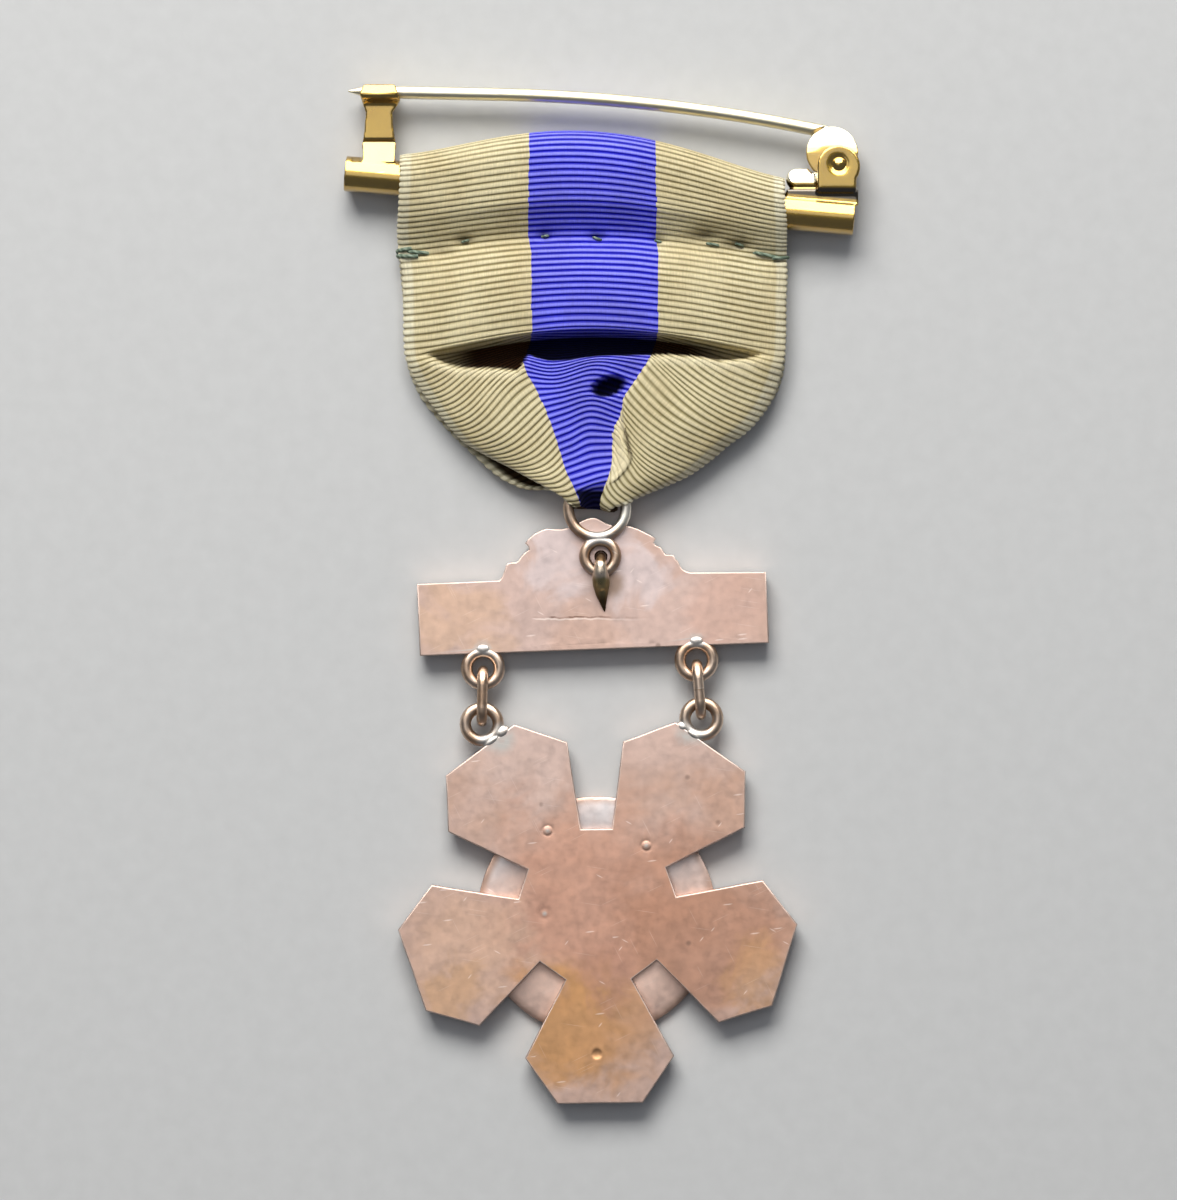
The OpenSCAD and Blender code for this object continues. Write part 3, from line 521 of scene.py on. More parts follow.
# Painted highlight: paler colour where the cloth rolls over the lower lip and along the crumpled edge
colour = mix_of(tree, times(tree, painted_highlight, 0.35), colour, (0.78, 0.71, 0.5))
for factor, dark, light in ((threads, (0.8, 0.8, 0.8), (1.18, 1.18, 1.18)),
                            (range_of(tree, soil, 0.3, 0.7), (0.9, 0.86, 0.79), (1.05, 1.05, 1.05))):
    colour = mix_of(tree, 1.0, colour, mix_of(tree, factor, dark, light), "MULTIPLY")
# Painted shade: the colour is darkened towards a brown or deep blue shadow tint by the attribute
shadow_tint = mix_of(tree, is_blue, (0.05, 0.02, 0.006), (0.006, 0.006, 0.035))
colour = mix_of(tree, painted_shade_and_highlight, colour, mix_of(tree, 1.0, colour, shadow_tint, "MULTIPLY"))
finish_with(tree, shader, colour, range_of(tree, painted_shade_and_highlight, 0.0, 1.0, 0.5, 1.0), 0.35, 0.00003, threads)
shader.inputs["Specular IOR Level"].default_value = 0.12
shader.inputs["Sheen Weight"].default_value = 0.04
shader.inputs["Sheen Roughness"].default_value = 0.4

fit(back_band, grosgrain, "ribbon", "ribbon")
fit(front_band, grosgrain, "ribbon", "ribbon")


# STITCHING. A running stitch of dark green sewing thread closes the loop round the tube. It shows as short
# stitches that sit in dents, and as a thicker overcast stitch at each selvage.
def thread_tree():
    tree = bpy.data.node_groups.new("sewing thread", "GeometryNodeTree")
    for name, way, kind in (("Route", "INPUT", "NodeSocketGeometry"), ("Thread radius", "INPUT", "NodeSocketFloat"),
                            ("Finish", "INPUT", "NodeSocketMaterial"), ("Geometry", "OUTPUT", "NodeSocketGeometry")):
        tree.interface.new_socket(name, in_out=way, socket_type=kind)
    entry, leave = tree.nodes.new("NodeGroupInput"), tree.nodes.new("NodeGroupOutput")
    curve = place(tree, "GeometryNodeMeshToCurve", {"Mesh": entry.outputs["Route"]})
    spline = place(tree, "GeometryNodeCurveSplineType", {"Curve": curve.outputs[0]}, spline_type="CATMULL_ROM")
    fine = place(tree, "GeometryNodeResampleCurve", {"Curve": spline.outputs[0], "Count": 22})
    profile = place(tree, "GeometryNodeCurvePrimitiveCircle",
                    {"Resolution": 10, "Radius": entry.outputs["Thread radius"]})
    skin = place(tree, "GeometryNodeCurveToMesh",
                 {"Curve": fine.outputs[0], "Profile Curve": profile.outputs[0], "Fill Caps": True})
    finish = place(tree, "GeometryNodeSetMaterial",
                   {"Geometry": skin.outputs[0], "Material": entry.outputs["Finish"]})
    realize = place(tree, "GeometryNodeRealizeInstances", {"Geometry": finish.outputs[0]})
    tree.links.new(realize.outputs[0], leave.inputs["Geometry"])
    return tree


def run_tree(name, tree, routes, values):
    """Runs a node tree on lines of points, in millimetres, and keeps the result as a plain mesh."""
    points, edges = [], []
    for route in routes:
        edges += [(len(points) + i, len(points) + i + 1) for i in range(len(route) - 1)]
        points += [tuple(c * MM for c in p) for p in route]
    mesh = bpy.data.meshes.new(name + " route")
    mesh.from_pydata(points, edges, [])
    carrier = new_object(name, mesh)
    modifier = carrier.modifiers.new("tree", "NODES")
    modifier.node_group = tree
    for item in tree.interface.items_tree:
        if item.in_out == "INPUT" and item.name in values:
            modifier[item.identifier] = values[item.name]
    bpy.context.view_layer.update()
    done = bpy.data.meshes.new_from_object(carrier.evaluated_get(bpy.context.evaluated_depsgraph_get()))
    carrier.modifiers.remove(modifier)
    carrier.data = done
    return carrier


sewing_green = (0.085, 0.125, 0.08)
thread, tree, shader = new_material("sewing thread")
spot = object_spot(tree)
twist = place(tree, "ShaderNodeTexWave", {"Vector": spot, "Scale": 900.0, "Distortion": 1.5, "Detail": 1.0},
              bands_direction="DIAGONAL").outputs[1]
fluff = range_of(tree, noise_of(tree, spot, 2500.0, 2.0), 0.3, 0.7, 0.6, 0.85)
finish_with(tree, shader, mix_of(tree, twist, sewing_green, (0.22, 0.28, 0.2)), fluff, 0.6, 0.00006, twist)


def points_of(mesh):
    at = np.zeros(len(mesh.vertices) * 3)
    mesh.vertices.foreach_get("co", at)
    return at.reshape(-1, 3)


cloth_points = points_of(back_band.data)[:len(ribs) * len(columns)] / MM


def on_cloth(x, y, lift):
    near = np.argsort((cloth_points[:, 0] - x)**2 + (cloth_points[:, 1] - y)**2 - 0.02 * cloth_points[:, 2])[:6]
    return (x, y, float(cloth_points[near, 2].max()) + lift)


# Stitches as seen on the back: x, y at one end, x, y at the other, thread radius
stitches = [
    (-17.6, 30.95, -15.6, 30.75, 0.17), (-12.7, 31.75, -12.05, 31.95, 0.11), (-5.5, 32.25, -4.85, 32.35, 0.11),
    (-0.85, 32.2, -0.1, 31.95, 0.12), (4.7, 31.9, 5.3, 31.75, 0.11), (9.3, 31.65, 10.5, 31.45, 0.13),
    (12.0, 31.65, 12.7, 31.4, 0.12), (13.6, 30.85, 15.9, 30.35, 0.16),
]
stitch_routes = {}
for x0, y0, x1, y1, radius in stitches:
    stitch_routes.setdefault(radius, []).append(
        [on_cloth(x0 + (x1 - x0) * t, y0 + (y1 - y0) * t, lift)
         for t, lift in ((0, -0.25), (0.15, 0.02), (0.38, 0.12), (0.62, 0.12), (0.85, 0.02), (1, -0.25))])
# The overcast stitches go round the selvages, two at the left and one at the right
stitch_routes[0.17] += [
    [(-17.2, 31.2, 2.1), (-17.9, 31.1, 2.2), (-18.42, 31.0, 1.75), (-18.46, 30.9, 1.2), (-18.35, 30.8, 0.6)],
    [(-16.6, 30.5, 2.25), (-17.6, 30.5, 2.25), (-18.36, 30.55, 1.8), (-18.42, 30.5, 1.2), (-18.3, 30.5, 0.6)]]
stitch_routes[0.16] += [
    [(15.3, 30.3, 2.3), (16.1, 30.35, 2.15), (16.66, 30.4, 1.7), (16.7, 30.4, 1.2), (16.6, 30.4, 0.6)]]
tree = thread_tree()
sewn = [run_tree(f"stitches_{i}", tree, routes, {"Thread radius": radius * MM, "Finish": thread})
        for i, (radius, routes) in enumerate(stitch_routes.items())]
for piece in sewn:
    piece.data.shade_smooth()
    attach(piece, "badge")


# BROOCH BAR AND RIVET. Drawn brass tube, with a catch bent from strip at its left and a hinge bracket at its
# right, soldered and polished. Dark brown is painted into the corner between tube and hinge bracket as painted shade.

# Short straight strokes in several directions, a few wide ones and many fine faint ones: turn, length, width, share
# of the places that carry one, and strength
strokes = [
    (0.12, 0.0021, 0.00032, 0.014, 0.9), (-0.5, 0.0016, 0.00026, 0.007, 0.8),
    (0.9, 0.0013, 0.00026, 0.005, 0.8), (-0.15, 0.005, 0.00014, 0.03, 0.3), (0.45, 0.0042, 0.00013, 0.03, 0.3),
    (-1.1, 0.0045, 0.00013, 0.02, 0.3),
]


def metal_marks():
    """Marks that all the badge's metal carries: stains, fine mottling, hairline scratches and small nicks."""
    group = bpy.data.node_groups.new("metal marks", "ShaderNodeTree")
    group.interface.new_socket("Vector", in_out="INPUT", socket_type="NodeSocketVector")
    for name in ("Stain size", "Hairlines"):
        group.interface.new_socket(name, in_out="INPUT", socket_type="NodeSocketFloat")
    for name in ("Stain", "Mottle", "Scratch", "Nick", "Height"):
        group.interface.new_socket(name, in_out="OUTPUT", socket_type="NodeSocketFloat")
    entry, leave = group.nodes.new("NodeGroupInput"), group.nodes.new("NodeGroupOutput")
    vector = entry.outputs["Vector"]

    def picked(field):
        """A number for each cell, to choose by."""
        return place(group, "ShaderNodeSeparateColor", [field.outputs["Color"]]).outputs[0]

    stain = noise_of(group, vector, math_of(group, "DIVIDE", 1.0, entry.outputs["Stain size"]), 3.0, 0.55, 0.4)
    mottle = noise_of(group, vector, 1500.0, 3.0, 0.6)
    lines = 0.0
    for turn, along, across, share, strength in strokes:
        frame_of = {"Vector": vector, "Location": (0.013 * turn, 0.007 * along, 0), "Rotation": (0, 0, turn),
                    "Scale": (along, across, 1.0)}
        turned = place(group, "ShaderNodeMapping", frame_of, vector_type="TEXTURE").outputs[0]
        field = place(group, "ShaderNodeTexVoronoi", {"Vector": turned, "Scale": 1.0}, voronoi_dimensions="2D")
        line = times(group, range_of(group, field.outputs["Distance"], 0.1, 0.26, strength, 0.0),
                     math_of(group, "LESS_THAN", picked(field), share))
        lines = math_of(group, "MAXIMUM", lines, line)
    scratch = times(group, lines, entry.outputs["Hairlines"])
    cells = place(group, "ShaderNodeTexVoronoi", {"Vector": vector, "Scale": 380.0, "Randomness": 1.0})
    nick = times(group, range_of(group, cells.outputs["Distance"], 0.04, 0.13, 1.0, 0.0),
                 math_of(group, "GREATER_THAN", picked(cells), 0.9))
    height = math_of(group, "SUBTRACT", times(group, mottle, 0.25), plus(group, nick, times(group, scratch, 0.35)))
    for name, value in (("Stain", stain), ("Mottle", mottle), ("Scratch", scratch), ("Nick", nick), ("Height", height)):
        group.links.new(value, leave.inputs[name])
    return group


marks_group = metal_marks()


def metal_material(name, bright, dull, worn, rough, stain_size, hairlines, tint, bump_depth=0.000006, shown=(),
                   grain=0.14, lacquer=0.0):
    """Metal whose colour moves between bright and dull with its stains and by its tint, and that shows worn colour in
    scratches. Each entry of shown lays a colour and a roughness over it where an attribute says so."""
    material, tree, shader = new_material(name)
    for key, value in (("Metallic", 1.0), ("Coat Weight", lacquer), ("Coat Roughness", 0.08), ("Coat IOR", 1.8)):
        shader.inputs[key].default_value = value
    spot = object_spot(tree)
    marks = place(tree, "ShaderNodeGroup", {"Vector": spot, "Stain size": stain_size, "Hairlines": hairlines},
                  node_tree=marks_group).outputs
    stained = range_of(tree, marks["Stain"], 0.35, 0.68)
    colour = tint(tree, spot, mix_of(tree, stained, bright, dull))
    mottled = mix_of(tree, marks["Mottle"], (1 - grain,) * 3, (1 + grain,) * 3)
    colour = mix_of(tree, 1.0, colour, mottled, "MULTIPLY")
    roughness = plus(tree, range_of(tree, marks["Mottle"], 0.3, 0.7, rough - 0.3 * grain, rough + 0.3 * grain),
                     times(tree, stained, 0.06))
    for attribute, over, over_rough in shown:
        mask = place(tree, "ShaderNodeAttribute", attribute_name=attribute).outputs["Fac"]
        patchy = times(tree, mask, range_of(tree, marks["Mottle"], 0.25, 0.55, 0.55, 1.0))
        colour = mix_of(tree, patchy, colour, over)
        roughness = mix_of(tree, patchy, roughness, (over_rough,) * 3)
    colour = mix_of(tree, times(tree, marks["Scratch"], 0.6), colour, worn)
    colour = mix_of(tree, times(tree, marks["Nick"], 0.5), colour, tuple(c * 0.35 for c in dull))
    finish_with(tree, shader, colour, roughness, 0.6, bump_depth, marks["Height"])
    return material


def away_from(tree, spot, where):
    return place(tree, "ShaderNodeVectorMath", [spot, where], operation="DISTANCE").outputs["Value"]


def painted_bracket_shade_and_highlight(tree, spot, colour):
    """Painted shade, dark brown, in the corner between tube and hinge bracket, and a painted highlight on the stop."""
    x, y, _ = xyz_of(tree, spot)
    along_tube = plus(tree, y, times(tree, x, 0.0875))
    past_ribbon = range_of(tree, x, 0.0155, 0.016)
    corner = times(tree, range_of(tree, along_tube, 0.03742, 0.03762), range_of(tree, y, 0.03668, 0.03645),
                   past_ribbon)
    # The top of the stop is painted pale, as a painted highlight
    on_stop = times(tree, range_of(tree, x, 0.0193, 0.0191), range_of(tree, y, 0.037, 0.0373), past_ribbon)
    colour = mix_of(tree, on_stop, colour, (0.86, 0.8, 0.62))
    return mix_of(tree, corner, colour, (0.055, 0.035, 0.01))


def skinned(name, points, faces, grain):
    """One even skin over solids that overlap, with soft edges. It is made in millimetres."""
    mesh = bpy.data.meshes.new(name)
    mesh.from_pydata(points, [], faces)
    work = bmesh.new()
    work.from_mesh(mesh)
    bmesh.ops.remove_doubles(work, verts=work.verts, dist=1e-4)
    work.to_mesh(mesh)
    work.free()
    piece = new_object(name, mesh)
    skin = piece.modifiers.new("skin", "REMESH")
    skin.mode, skin.voxel_size = "VOXEL", grain
    soft = piece.modifiers.new("soft", "SMOOTH")
    soft.factor, soft.iterations = 0.5, 5
    done = bpy.data.meshes.new_from_object(piece.evaluated_get(bpy.context.evaluated_depsgraph_get()))
    piece.modifiers.clear()
    piece.data = done
    return piece


def hand_finished(name, node, grain, reshape):
    """A copy of a part with its sharp edges rubbed soft, and its flat faces shaped as hand work leaves them."""
    part = cad[node]
    points = [tuple(part.matrix_world @ v.co / MM) for v in part.data.vertices]
    piece = skinned(name, points, [tuple(f.vertices) for f in part.data.polygons], grain)
    piece.data.vertices.foreach_set("co", reshape(points_of(piece.data)).ravel())
    piece.data.transform(Matrix.Scale(MM, 4))
    piece.data.update()
    piece.data.shade_smooth()
    return piece


def refinish(node, material):
    for slot in cad[node].material_slots:
        slot.material = material
    if not cad[node].material_slots:
        cad[node].data.materials.append(material)


tube_radius, tube_turn, tube_middle = 1.6, math.radians(5), np.array([-0.27, 35.93, tube_z])
catch_x, rivet_x, rivet_y, pin_head_x, pin_head_y, head_room = -20.1, 21.24, 38.7, 20.65, 39.78, 2.56


def shape_bar(at):
    """The tube is drawn truly round. The catch's strip comes down slanting off the tube, and curls over the pin."""
    axis = np.array([math.cos(tube_turn), -math.sin(tube_turn), 0])
    along = (at - tube_middle) @ axis
    spoke = at - tube_middle - along[:, None] * axis
    reach = np.linalg.norm(spoke, axis=1)
    on_tube = ease((0.12 - np.abs(reach - tube_radius)) / 0.06) * (np.abs(along) < np.abs(along).max() - 0.2)
    x, y, z = (at + spoke * (on_tube * (tube_radius / np.maximum(reach, 0.1) - 1))[:, None]).T
    high = np.clip((z - tube_z) / 0.4, 0, 1) * (np.abs(x - catch_x) < 2.4)
    foot = ease((y - 38.75) / 0.25) * ease((41.1 - y) / 0.3)
    z = z - high * foot * np.clip(0.52 * (y - 38.9), 0, 0.95) * np.clip((z - 2.5) / 0.9, 0, 1)
    # The curl: a slope towards +Y, rounded down at both sides
    curl = ease((y - 43.3) / 0.7) * np.clip(z - 3.0, 0, 0.35) / 0.35
    z = z + high * curl * (0.34 * (45.9 - y) * (1 - 0.5 * ((x - catch_x) / 1.9)**2))
    # The stop is filed to a slope, and the dish round the rivet is shallow
    on_stop = ease((x - 16.2) / 0.2) * ease((19.25 - x) / 0.25) * (y > 36.3) * (y < 38.5)
    filed = 0.8 * on_stop * np.clip((y - 36.7) / 1.7, 0, 1)
    z = np.where(z > tube_z, tube_z + (z - tube_z) * (1 - filed), z)
    z = z + 0.12 * ease((1.05 - np.hypot(x - rivet_x, y - rivet_y)) / 0.3) * (z > 3.0)
    # Stop and ears stand clear of the pin's round head
    from_head, off_middle = np.hypot(x - pin_head_x, y - pin_head_y), np.abs(z - tube_z)
    beside_head = (from_head < head_room) & (y > 37.2)
    off = np.where(beside_head & (off_middle <= 0.55), head_room / from_head, 1)
    z = np.where(beside_head & (off_middle > 0.55), tube_z + np.sign(z - tube_z) * np.maximum(off_middle, 0.69), z)
    return np.stack([pin_head_x + (x - pin_head_x) * off, pin_head_y + (y - pin_head_y) * off, z], axis=1)


brass = metal_material("polished brass", (0.5, 0.315, 0.04), (0.42, 0.25, 0.03), (0.72, 0.6, 0.34), 0.21, 0.007, 0.4,
                       painted_bracket_shade_and_highlight, bump_depth=0.000003, grain=0.05, lacquer=1.0)
fit(hand_finished("brooch_brass", "brooch_bar", 0.116, shape_bar), brass, "brass", "brooch_bar")
refinish("hinge_rivet", brass)


# PIN. Hard drawn brass wire, pale as a painted highlight, with a flattened head, a little domed, that turns on the
# rivet.
def shape_pin(at):
    x, y, z = at.T
    reach = np.hypot(x - pin_head_x, y - pin_head_y)
    dome = 0.34 * np.clip(reach / 2.3, 0, 1)**2 * ease((2.6 - reach) / 0.3) * ease((y - 39.7) / 1.0)
    return np.stack([x, y, tube_z + (z - tube_z) * (1 - dome / 0.75)], axis=1)


def yellow_head(tree, spot, colour):
    """The wire and the head's upper edge keep the pale colour, a painted highlight. The flat of the head keeps its
    yellow.
    """
    away = away_from(tree, spot, (pin_head_x * MM, pin_head_y * MM, tube_z * MM))
    flat = times(tree, range_of(tree, xyz_of(tree, spot)[1], 0.0406, 0.0402), range_of(tree, away, 0.0028, 0.0026))
    return mix_of(tree, flat, colour, (0.5, 0.315, 0.06))


# The pale, near-white base colour stands for a painted highlight on yellow brass
pin_brass = metal_material("bright pin wire", (0.86, 0.78, 0.56), (0.78, 0.68, 0.42), (0.95, 0.9, 0.74), 0.3, 0.009,
                           0.3, yellow_head, bump_depth=0.000002, grain=0.03, lacquer=1.0)
fit(hand_finished("pin_wire", "pin_stem", 0.075, shape_pin), pin_brass, "pin_wire", "pin_stem", body="pin")


# SUSPENSION RING. Two closed rings of brown toned wire, soldered edge to edge: the large one holds the ribbon,
# the small one turns on the bar's hoop. The solder stands as a grey fillet between them.
def ring_mesh(centre, ring_radius, wire_radius, height):
    around, section = 96, 28
    a = np.linspace(0, 2 * np.pi, around, endpoint=False)[:, None]
    b = np.linspace(0, 2 * np.pi, section, endpoint=False)[None, :]
    reach = ring_radius + wire_radius * np.cos(b)
    points = np.stack([centre[0] + reach * np.cos(a), centre[1] + reach * np.sin(a),
                       height + wire_radius * np.sin(b) + 0 * a], axis=-1).reshape(-1, 3)
    i, j = np.meshgrid(np.arange(around), np.arange(section), indexing="ij")
    at = lambda p, q: (p % around) * section + q % section
    return points, np.stack([at(i, j), at(i + 1, j), at(i + 1, j + 1), at(i, j + 1)], axis=-1).reshape(-1, 4)


def rows_joined(rows, sides, first=0):
    """Quads between rows of points that each close into a ring."""
    return [tuple(first + k for k in (i * sides + j, i * sides + n, (i + 1) * sides + n, (i + 1) * sides + j))
            for i in range(rows - 1) for j, n in zip(range(sides), [*range(1, sides), 0])]


def lump_mesh(centre, radii, turn):
    """A flattened lump of solder: an ellipsoid turned about Z."""
    around, rows = 32, 16
    turns = [2 * math.pi * k / around for k in range(around)]
    points = [(0, 0, -1)]
    for r in range(1, rows):
        lat = -math.pi / 2 + math.pi * r / rows
        points += [(math.cos(lat) * math.cos(a), math.cos(lat) * math.sin(a), math.sin(lat)) for a in turns]
    points.append((0, 0, 1))
    c, s = math.cos(math.radians(turn)), math.sin(math.radians(turn))
    points = (np.array(points) * radii) @ np.array([[c, s, 0], [-s, c, 0], [0, 0, 1]]) + centre
    faces, top = rows_joined(rows - 1, around, 1), len(points) - 1
    for k, n in zip(range(around), [*range(1, around), 0]):
        faces += [(0, 1 + n, 1 + k), (top - around + k, top - around + n, top)]
    return points, faces


def together(parts):
    """The points and faces of several solids, in one list each."""
    points, faces = [], []
    for part_points, part_faces in parts:
        faces += [tuple(int(i) + len(points) for i in face) for face in part_faces]
        points += [tuple(p) for p in part_points]
    return points, faces


def soldered(name, parts, lumps):
    """Wire parts and solder lumps run together into one skin, with the solder marked in an attribute."""
    piece = skinned(name, *together([*parts, *[lump_mesh(*lump) for lump in lumps]]), 0.06)
    at = points_of(piece.data)
    solder = np.zeros(len(at))
    for centre, radii, _ in lumps:
        solder = np.maximum(solder, ease(1.7 - np.linalg.norm((at - centre) / max(radii[:2]), axis=1)))
    mark(piece.data, "solder", solder)
    piece.data.transform(Matrix.Scale(MM, 4))
    piece.data.shade_smooth()
    return piece


tin_solder = ("solder", (0.5, 0.47, 0.43), 0.46)


def whiter_right_arm(tree, spot, colour):
    """The large ring's right arm is painted nearly white."""
    away = away_from(tree, spot, (0.0021, 0.0072, 0.0022))
    return mix_of(tree, range_of(tree, away, 0.0022, 0.001, 0.0, 0.85), colour, (0.86, 0.83, 0.72))


toned_wire = metal_material("toned wire", (0.6, 0.46, 0.35), (0.4, 0.26, 0.165), (0.85, 0.77, 0.66), 0.32, 0.003, 0.8,
                            whiter_right_arm, shown=[tin_solder], lacquer=0.3)
small_ring_centre, small_ring_radius = (-0.21, 3.51), 1.4
rings = soldered("suspension_rings", [ring_mesh(wire_ring_centre, wire_ring_radius, wire_radius, wire_ring_z),
                                      ring_mesh(small_ring_centre, small_ring_radius, wire_radius, wire_ring_z)],
                 [((-0.32, 5.06, wire_ring_z), (0.95, 0.42, 0.42), -3)])
fit(rings, toned_wire, "ring_wire", "suspension_ring")


# CLASP BAR. A flat bar with an arched, leafy top edge, struck in bronze, toned to a pinkish brown satin and
# waxed. Its front has a raised border round a plain sunk field. Two wire loops are soldered to its lower edge.
def inset_outline(outline, distance):
    """Moves a closed anticlockwise outline inwards."""
    p = np.asarray(outline, float)
    into, out_of = unit(p - np.roll(p, 1, 0)), unit(np.roll(p, -1, 0) - p)
    side_in, side_out = (np.stack([-way[:, 1], way[:, 0]], 1) for way in (into, out_of))
    middle = unit(side_in + side_out)
    return p + middle * (distance / np.maximum((middle * side_out).sum(1), 0.5))[:, None]


def is_inside(points, outline):
    a, b = np.asarray(outline, float), np.roll(outline, -1, 0)
    x, y = points[:, 0][:, None], points[:, 1][:, None]
    spans = (a[:, 1] > y) != (b[:, 1] > y)
    rise = np.where(b[:, 1] == a[:, 1], 1, b[:, 1] - a[:, 1])
    return (spans & (x < (b[:, 0] - a[:, 0]) * (y - a[:, 1]) / rise + a[:, 0])).sum(1) % 2 == 1


def distance_to(points, outline):
    a, b = np.asarray(outline, float), np.roll(outline, -1, 0)
    run = b - a
    t = np.clip(((points[:, None] - a) * run).sum(-1) / (run * run).sum(-1), 0, 1)
    return np.linalg.norm(points[:, None] - a - t[..., None] * run, axis=-1).min(1)


def flat_face(outer, holes, spacing, marks):
    """Triangles between a closed outline and its holes. With a spacing the face, then without holes, gets a fine grid
    so that it can be waved and dimpled."""
    edges, start = [], 0
    for loop in (outer, *holes):
        edges += [(start + i, start + (i + 1) % len(loop)) for i in range(len(loop))]
        start += len(loop)
    points = [outer, *holes]
    turns = np.linspace(0, 2 * np.pi, 20, endpoint=False)
    for x, y, steps in marks:
        points.append(np.array([(x, y)]))
        points += [np.array([(x + r * math.cos(a), y + r * math.sin(a)) for a in turns]) for r, _ in steps if r > 0]
    if spacing:
        low, high = outer.min(0), outer.max(0)
        gx, gy = np.meshgrid(np.arange(low[0], high[0], spacing), np.arange(low[1], high[1], spacing))
        gx[1::2] += spacing / 2
        grid = np.stack([gx.ravel(), gy.ravel()], 1)
        grid = grid[is_inside(grid, outer) & (distance_to(grid, outer) > 0.4 * spacing)]
        for x, y, steps in marks:
            grid = grid[np.hypot(grid[:, 0] - x, grid[:, 1] - y) > steps[-1][0] + 0.1]
        points.append(grid)
    made = delaunay_2d_cdt([Vector(p) for p in np.concatenate(points)], edges, [], 0, 1e-6)
    at = np.array([tuple(v) for v in made[0]])
    triangles = np.array([f for f in made[2] if len(f) == 3])
    middle = at[triangles].mean(1)
    keep = is_inside(middle, outer)
    for hole in holes:
        keep &= ~is_inside(middle, hole)
    return at, triangles[keep], [ids[0] if ids else -1 for ids in made[3]]


def crisp(mesh):
    """Smooth shading that keeps the corners."""
    mesh.shade_smooth()
    mesh.set_sharp_from_angle(angle=math.radians(38))


class Plate:
    """A struck plate: rounded edges, a gently uneven back, and plain sunk fields on its front."""

    def __init__(self, outline, low, high, edge):
        self.points, self.worn, self.faces, self.outline = [], [], [], np.asarray(outline, float)
        bevel = 0.05
        # Each level of the edge: how far inside the outline, how high, and how worn
        levels = [(bevel, low, 0.4), (0, low + bevel, 0.4), (0, high - edge, 0.7)]
        levels += [(edge * (1 - math.cos(a)), high - edge * (1 - math.sin(a)), 1.0) for a in (0.55, 1.05, math.pi / 2)]
        levels += [(edge + 0.06, high, 0.0)]
        rows = [self.row(inset_outline(outline, inset) if inset else self.outline, z, worn)
                for inset, z, worn in levels]
        for lower, upper in zip(rows, rows[1:]):
            self.wall(lower, upper)
        self.low, self.high, self.front, self.back = low, high, rows[0], rows[-1]

    def row(self, outline, z, worn=0.0):
        start = len(self.points)
        self.points += [(float(p[0]), float(p[1]), float(z)) for p in outline]
        self.worn += [worn] * len(outline)
        return list(range(start, len(self.points)))

    def wall(self, lower, upper):
        n = len(lower)
        self.faces += [(lower[k], lower[(k + 1) % n], upper[(k + 1) % n], upper[k]) for k in range(n)]

    def fill(self, outer, holes, height, way, spacing=0, marks=()):
        """Closes a face between rows that are there; height gives the z of the points that are added."""
        rows = [np.array([self.points[i][:2] for i in row]) for row in (outer, *holes)]
        at, triangles, same = flat_face(rows[0], rows[1:], spacing, marks)
        known = outer + [i for row in holes for i in row]
        index = [known[i] if 0 <= i < len(known) else self.row([p], z)[0] for i, p, z in zip(same, at, height(at))]
        self.faces += [tuple(index[i] for i in t[::way]) for t in triangles]

    def close_back(self, spacing, seed, marks=()):
        def uneven(at):
            away, (x, y) = distance_to(at, self.outline), at.T
            height = self.high + 0.022 * ease(away / 1.2) * slow_waves(x * 1.3, y * 1.3, seed)
            height += 0.01 * ease(away / 0.6) * slow_waves(x * 4.2, y * 4.2, seed + 1)
            for mark_x, mark_y, steps in marks:
                height += np.interp(np.hypot(x - mark_x, y - mark_y), *zip(*steps))
            return height

        self.fill(self.back, [], uneven, 1, spacing, marks)

    def close_front(self, fields, depth):
        def level(z):
            return lambda at: [z] * len(at)

        walls = [self.row(field, self.low, 0.5) for field in fields]
        self.fill(self.front, walls, level(self.low), -1)
        for field, wall in zip(fields, walls):
            floor_row = self.row(inset_outline(field, 0.12), self.low + depth)
            self.wall(floor_row, wall)
            self.fill(floor_row, [], level(self.low + depth), -1)

    def build(self, name, solder_at):
        mesh, (x, y, _) = mesh_of(name, self.points, self.faces), np.array(self.points).T
        solder = [ease((reach - np.hypot(x - at_x, y - at_y)) / (0.6 * reach)) for at_x, at_y, reach in solder_at]
        mark(mesh, "worn", self.worn)
        mark(mesh, "solder", np.max(solder, axis=0))
        crisp(mesh)
        return new_object(name, mesh)


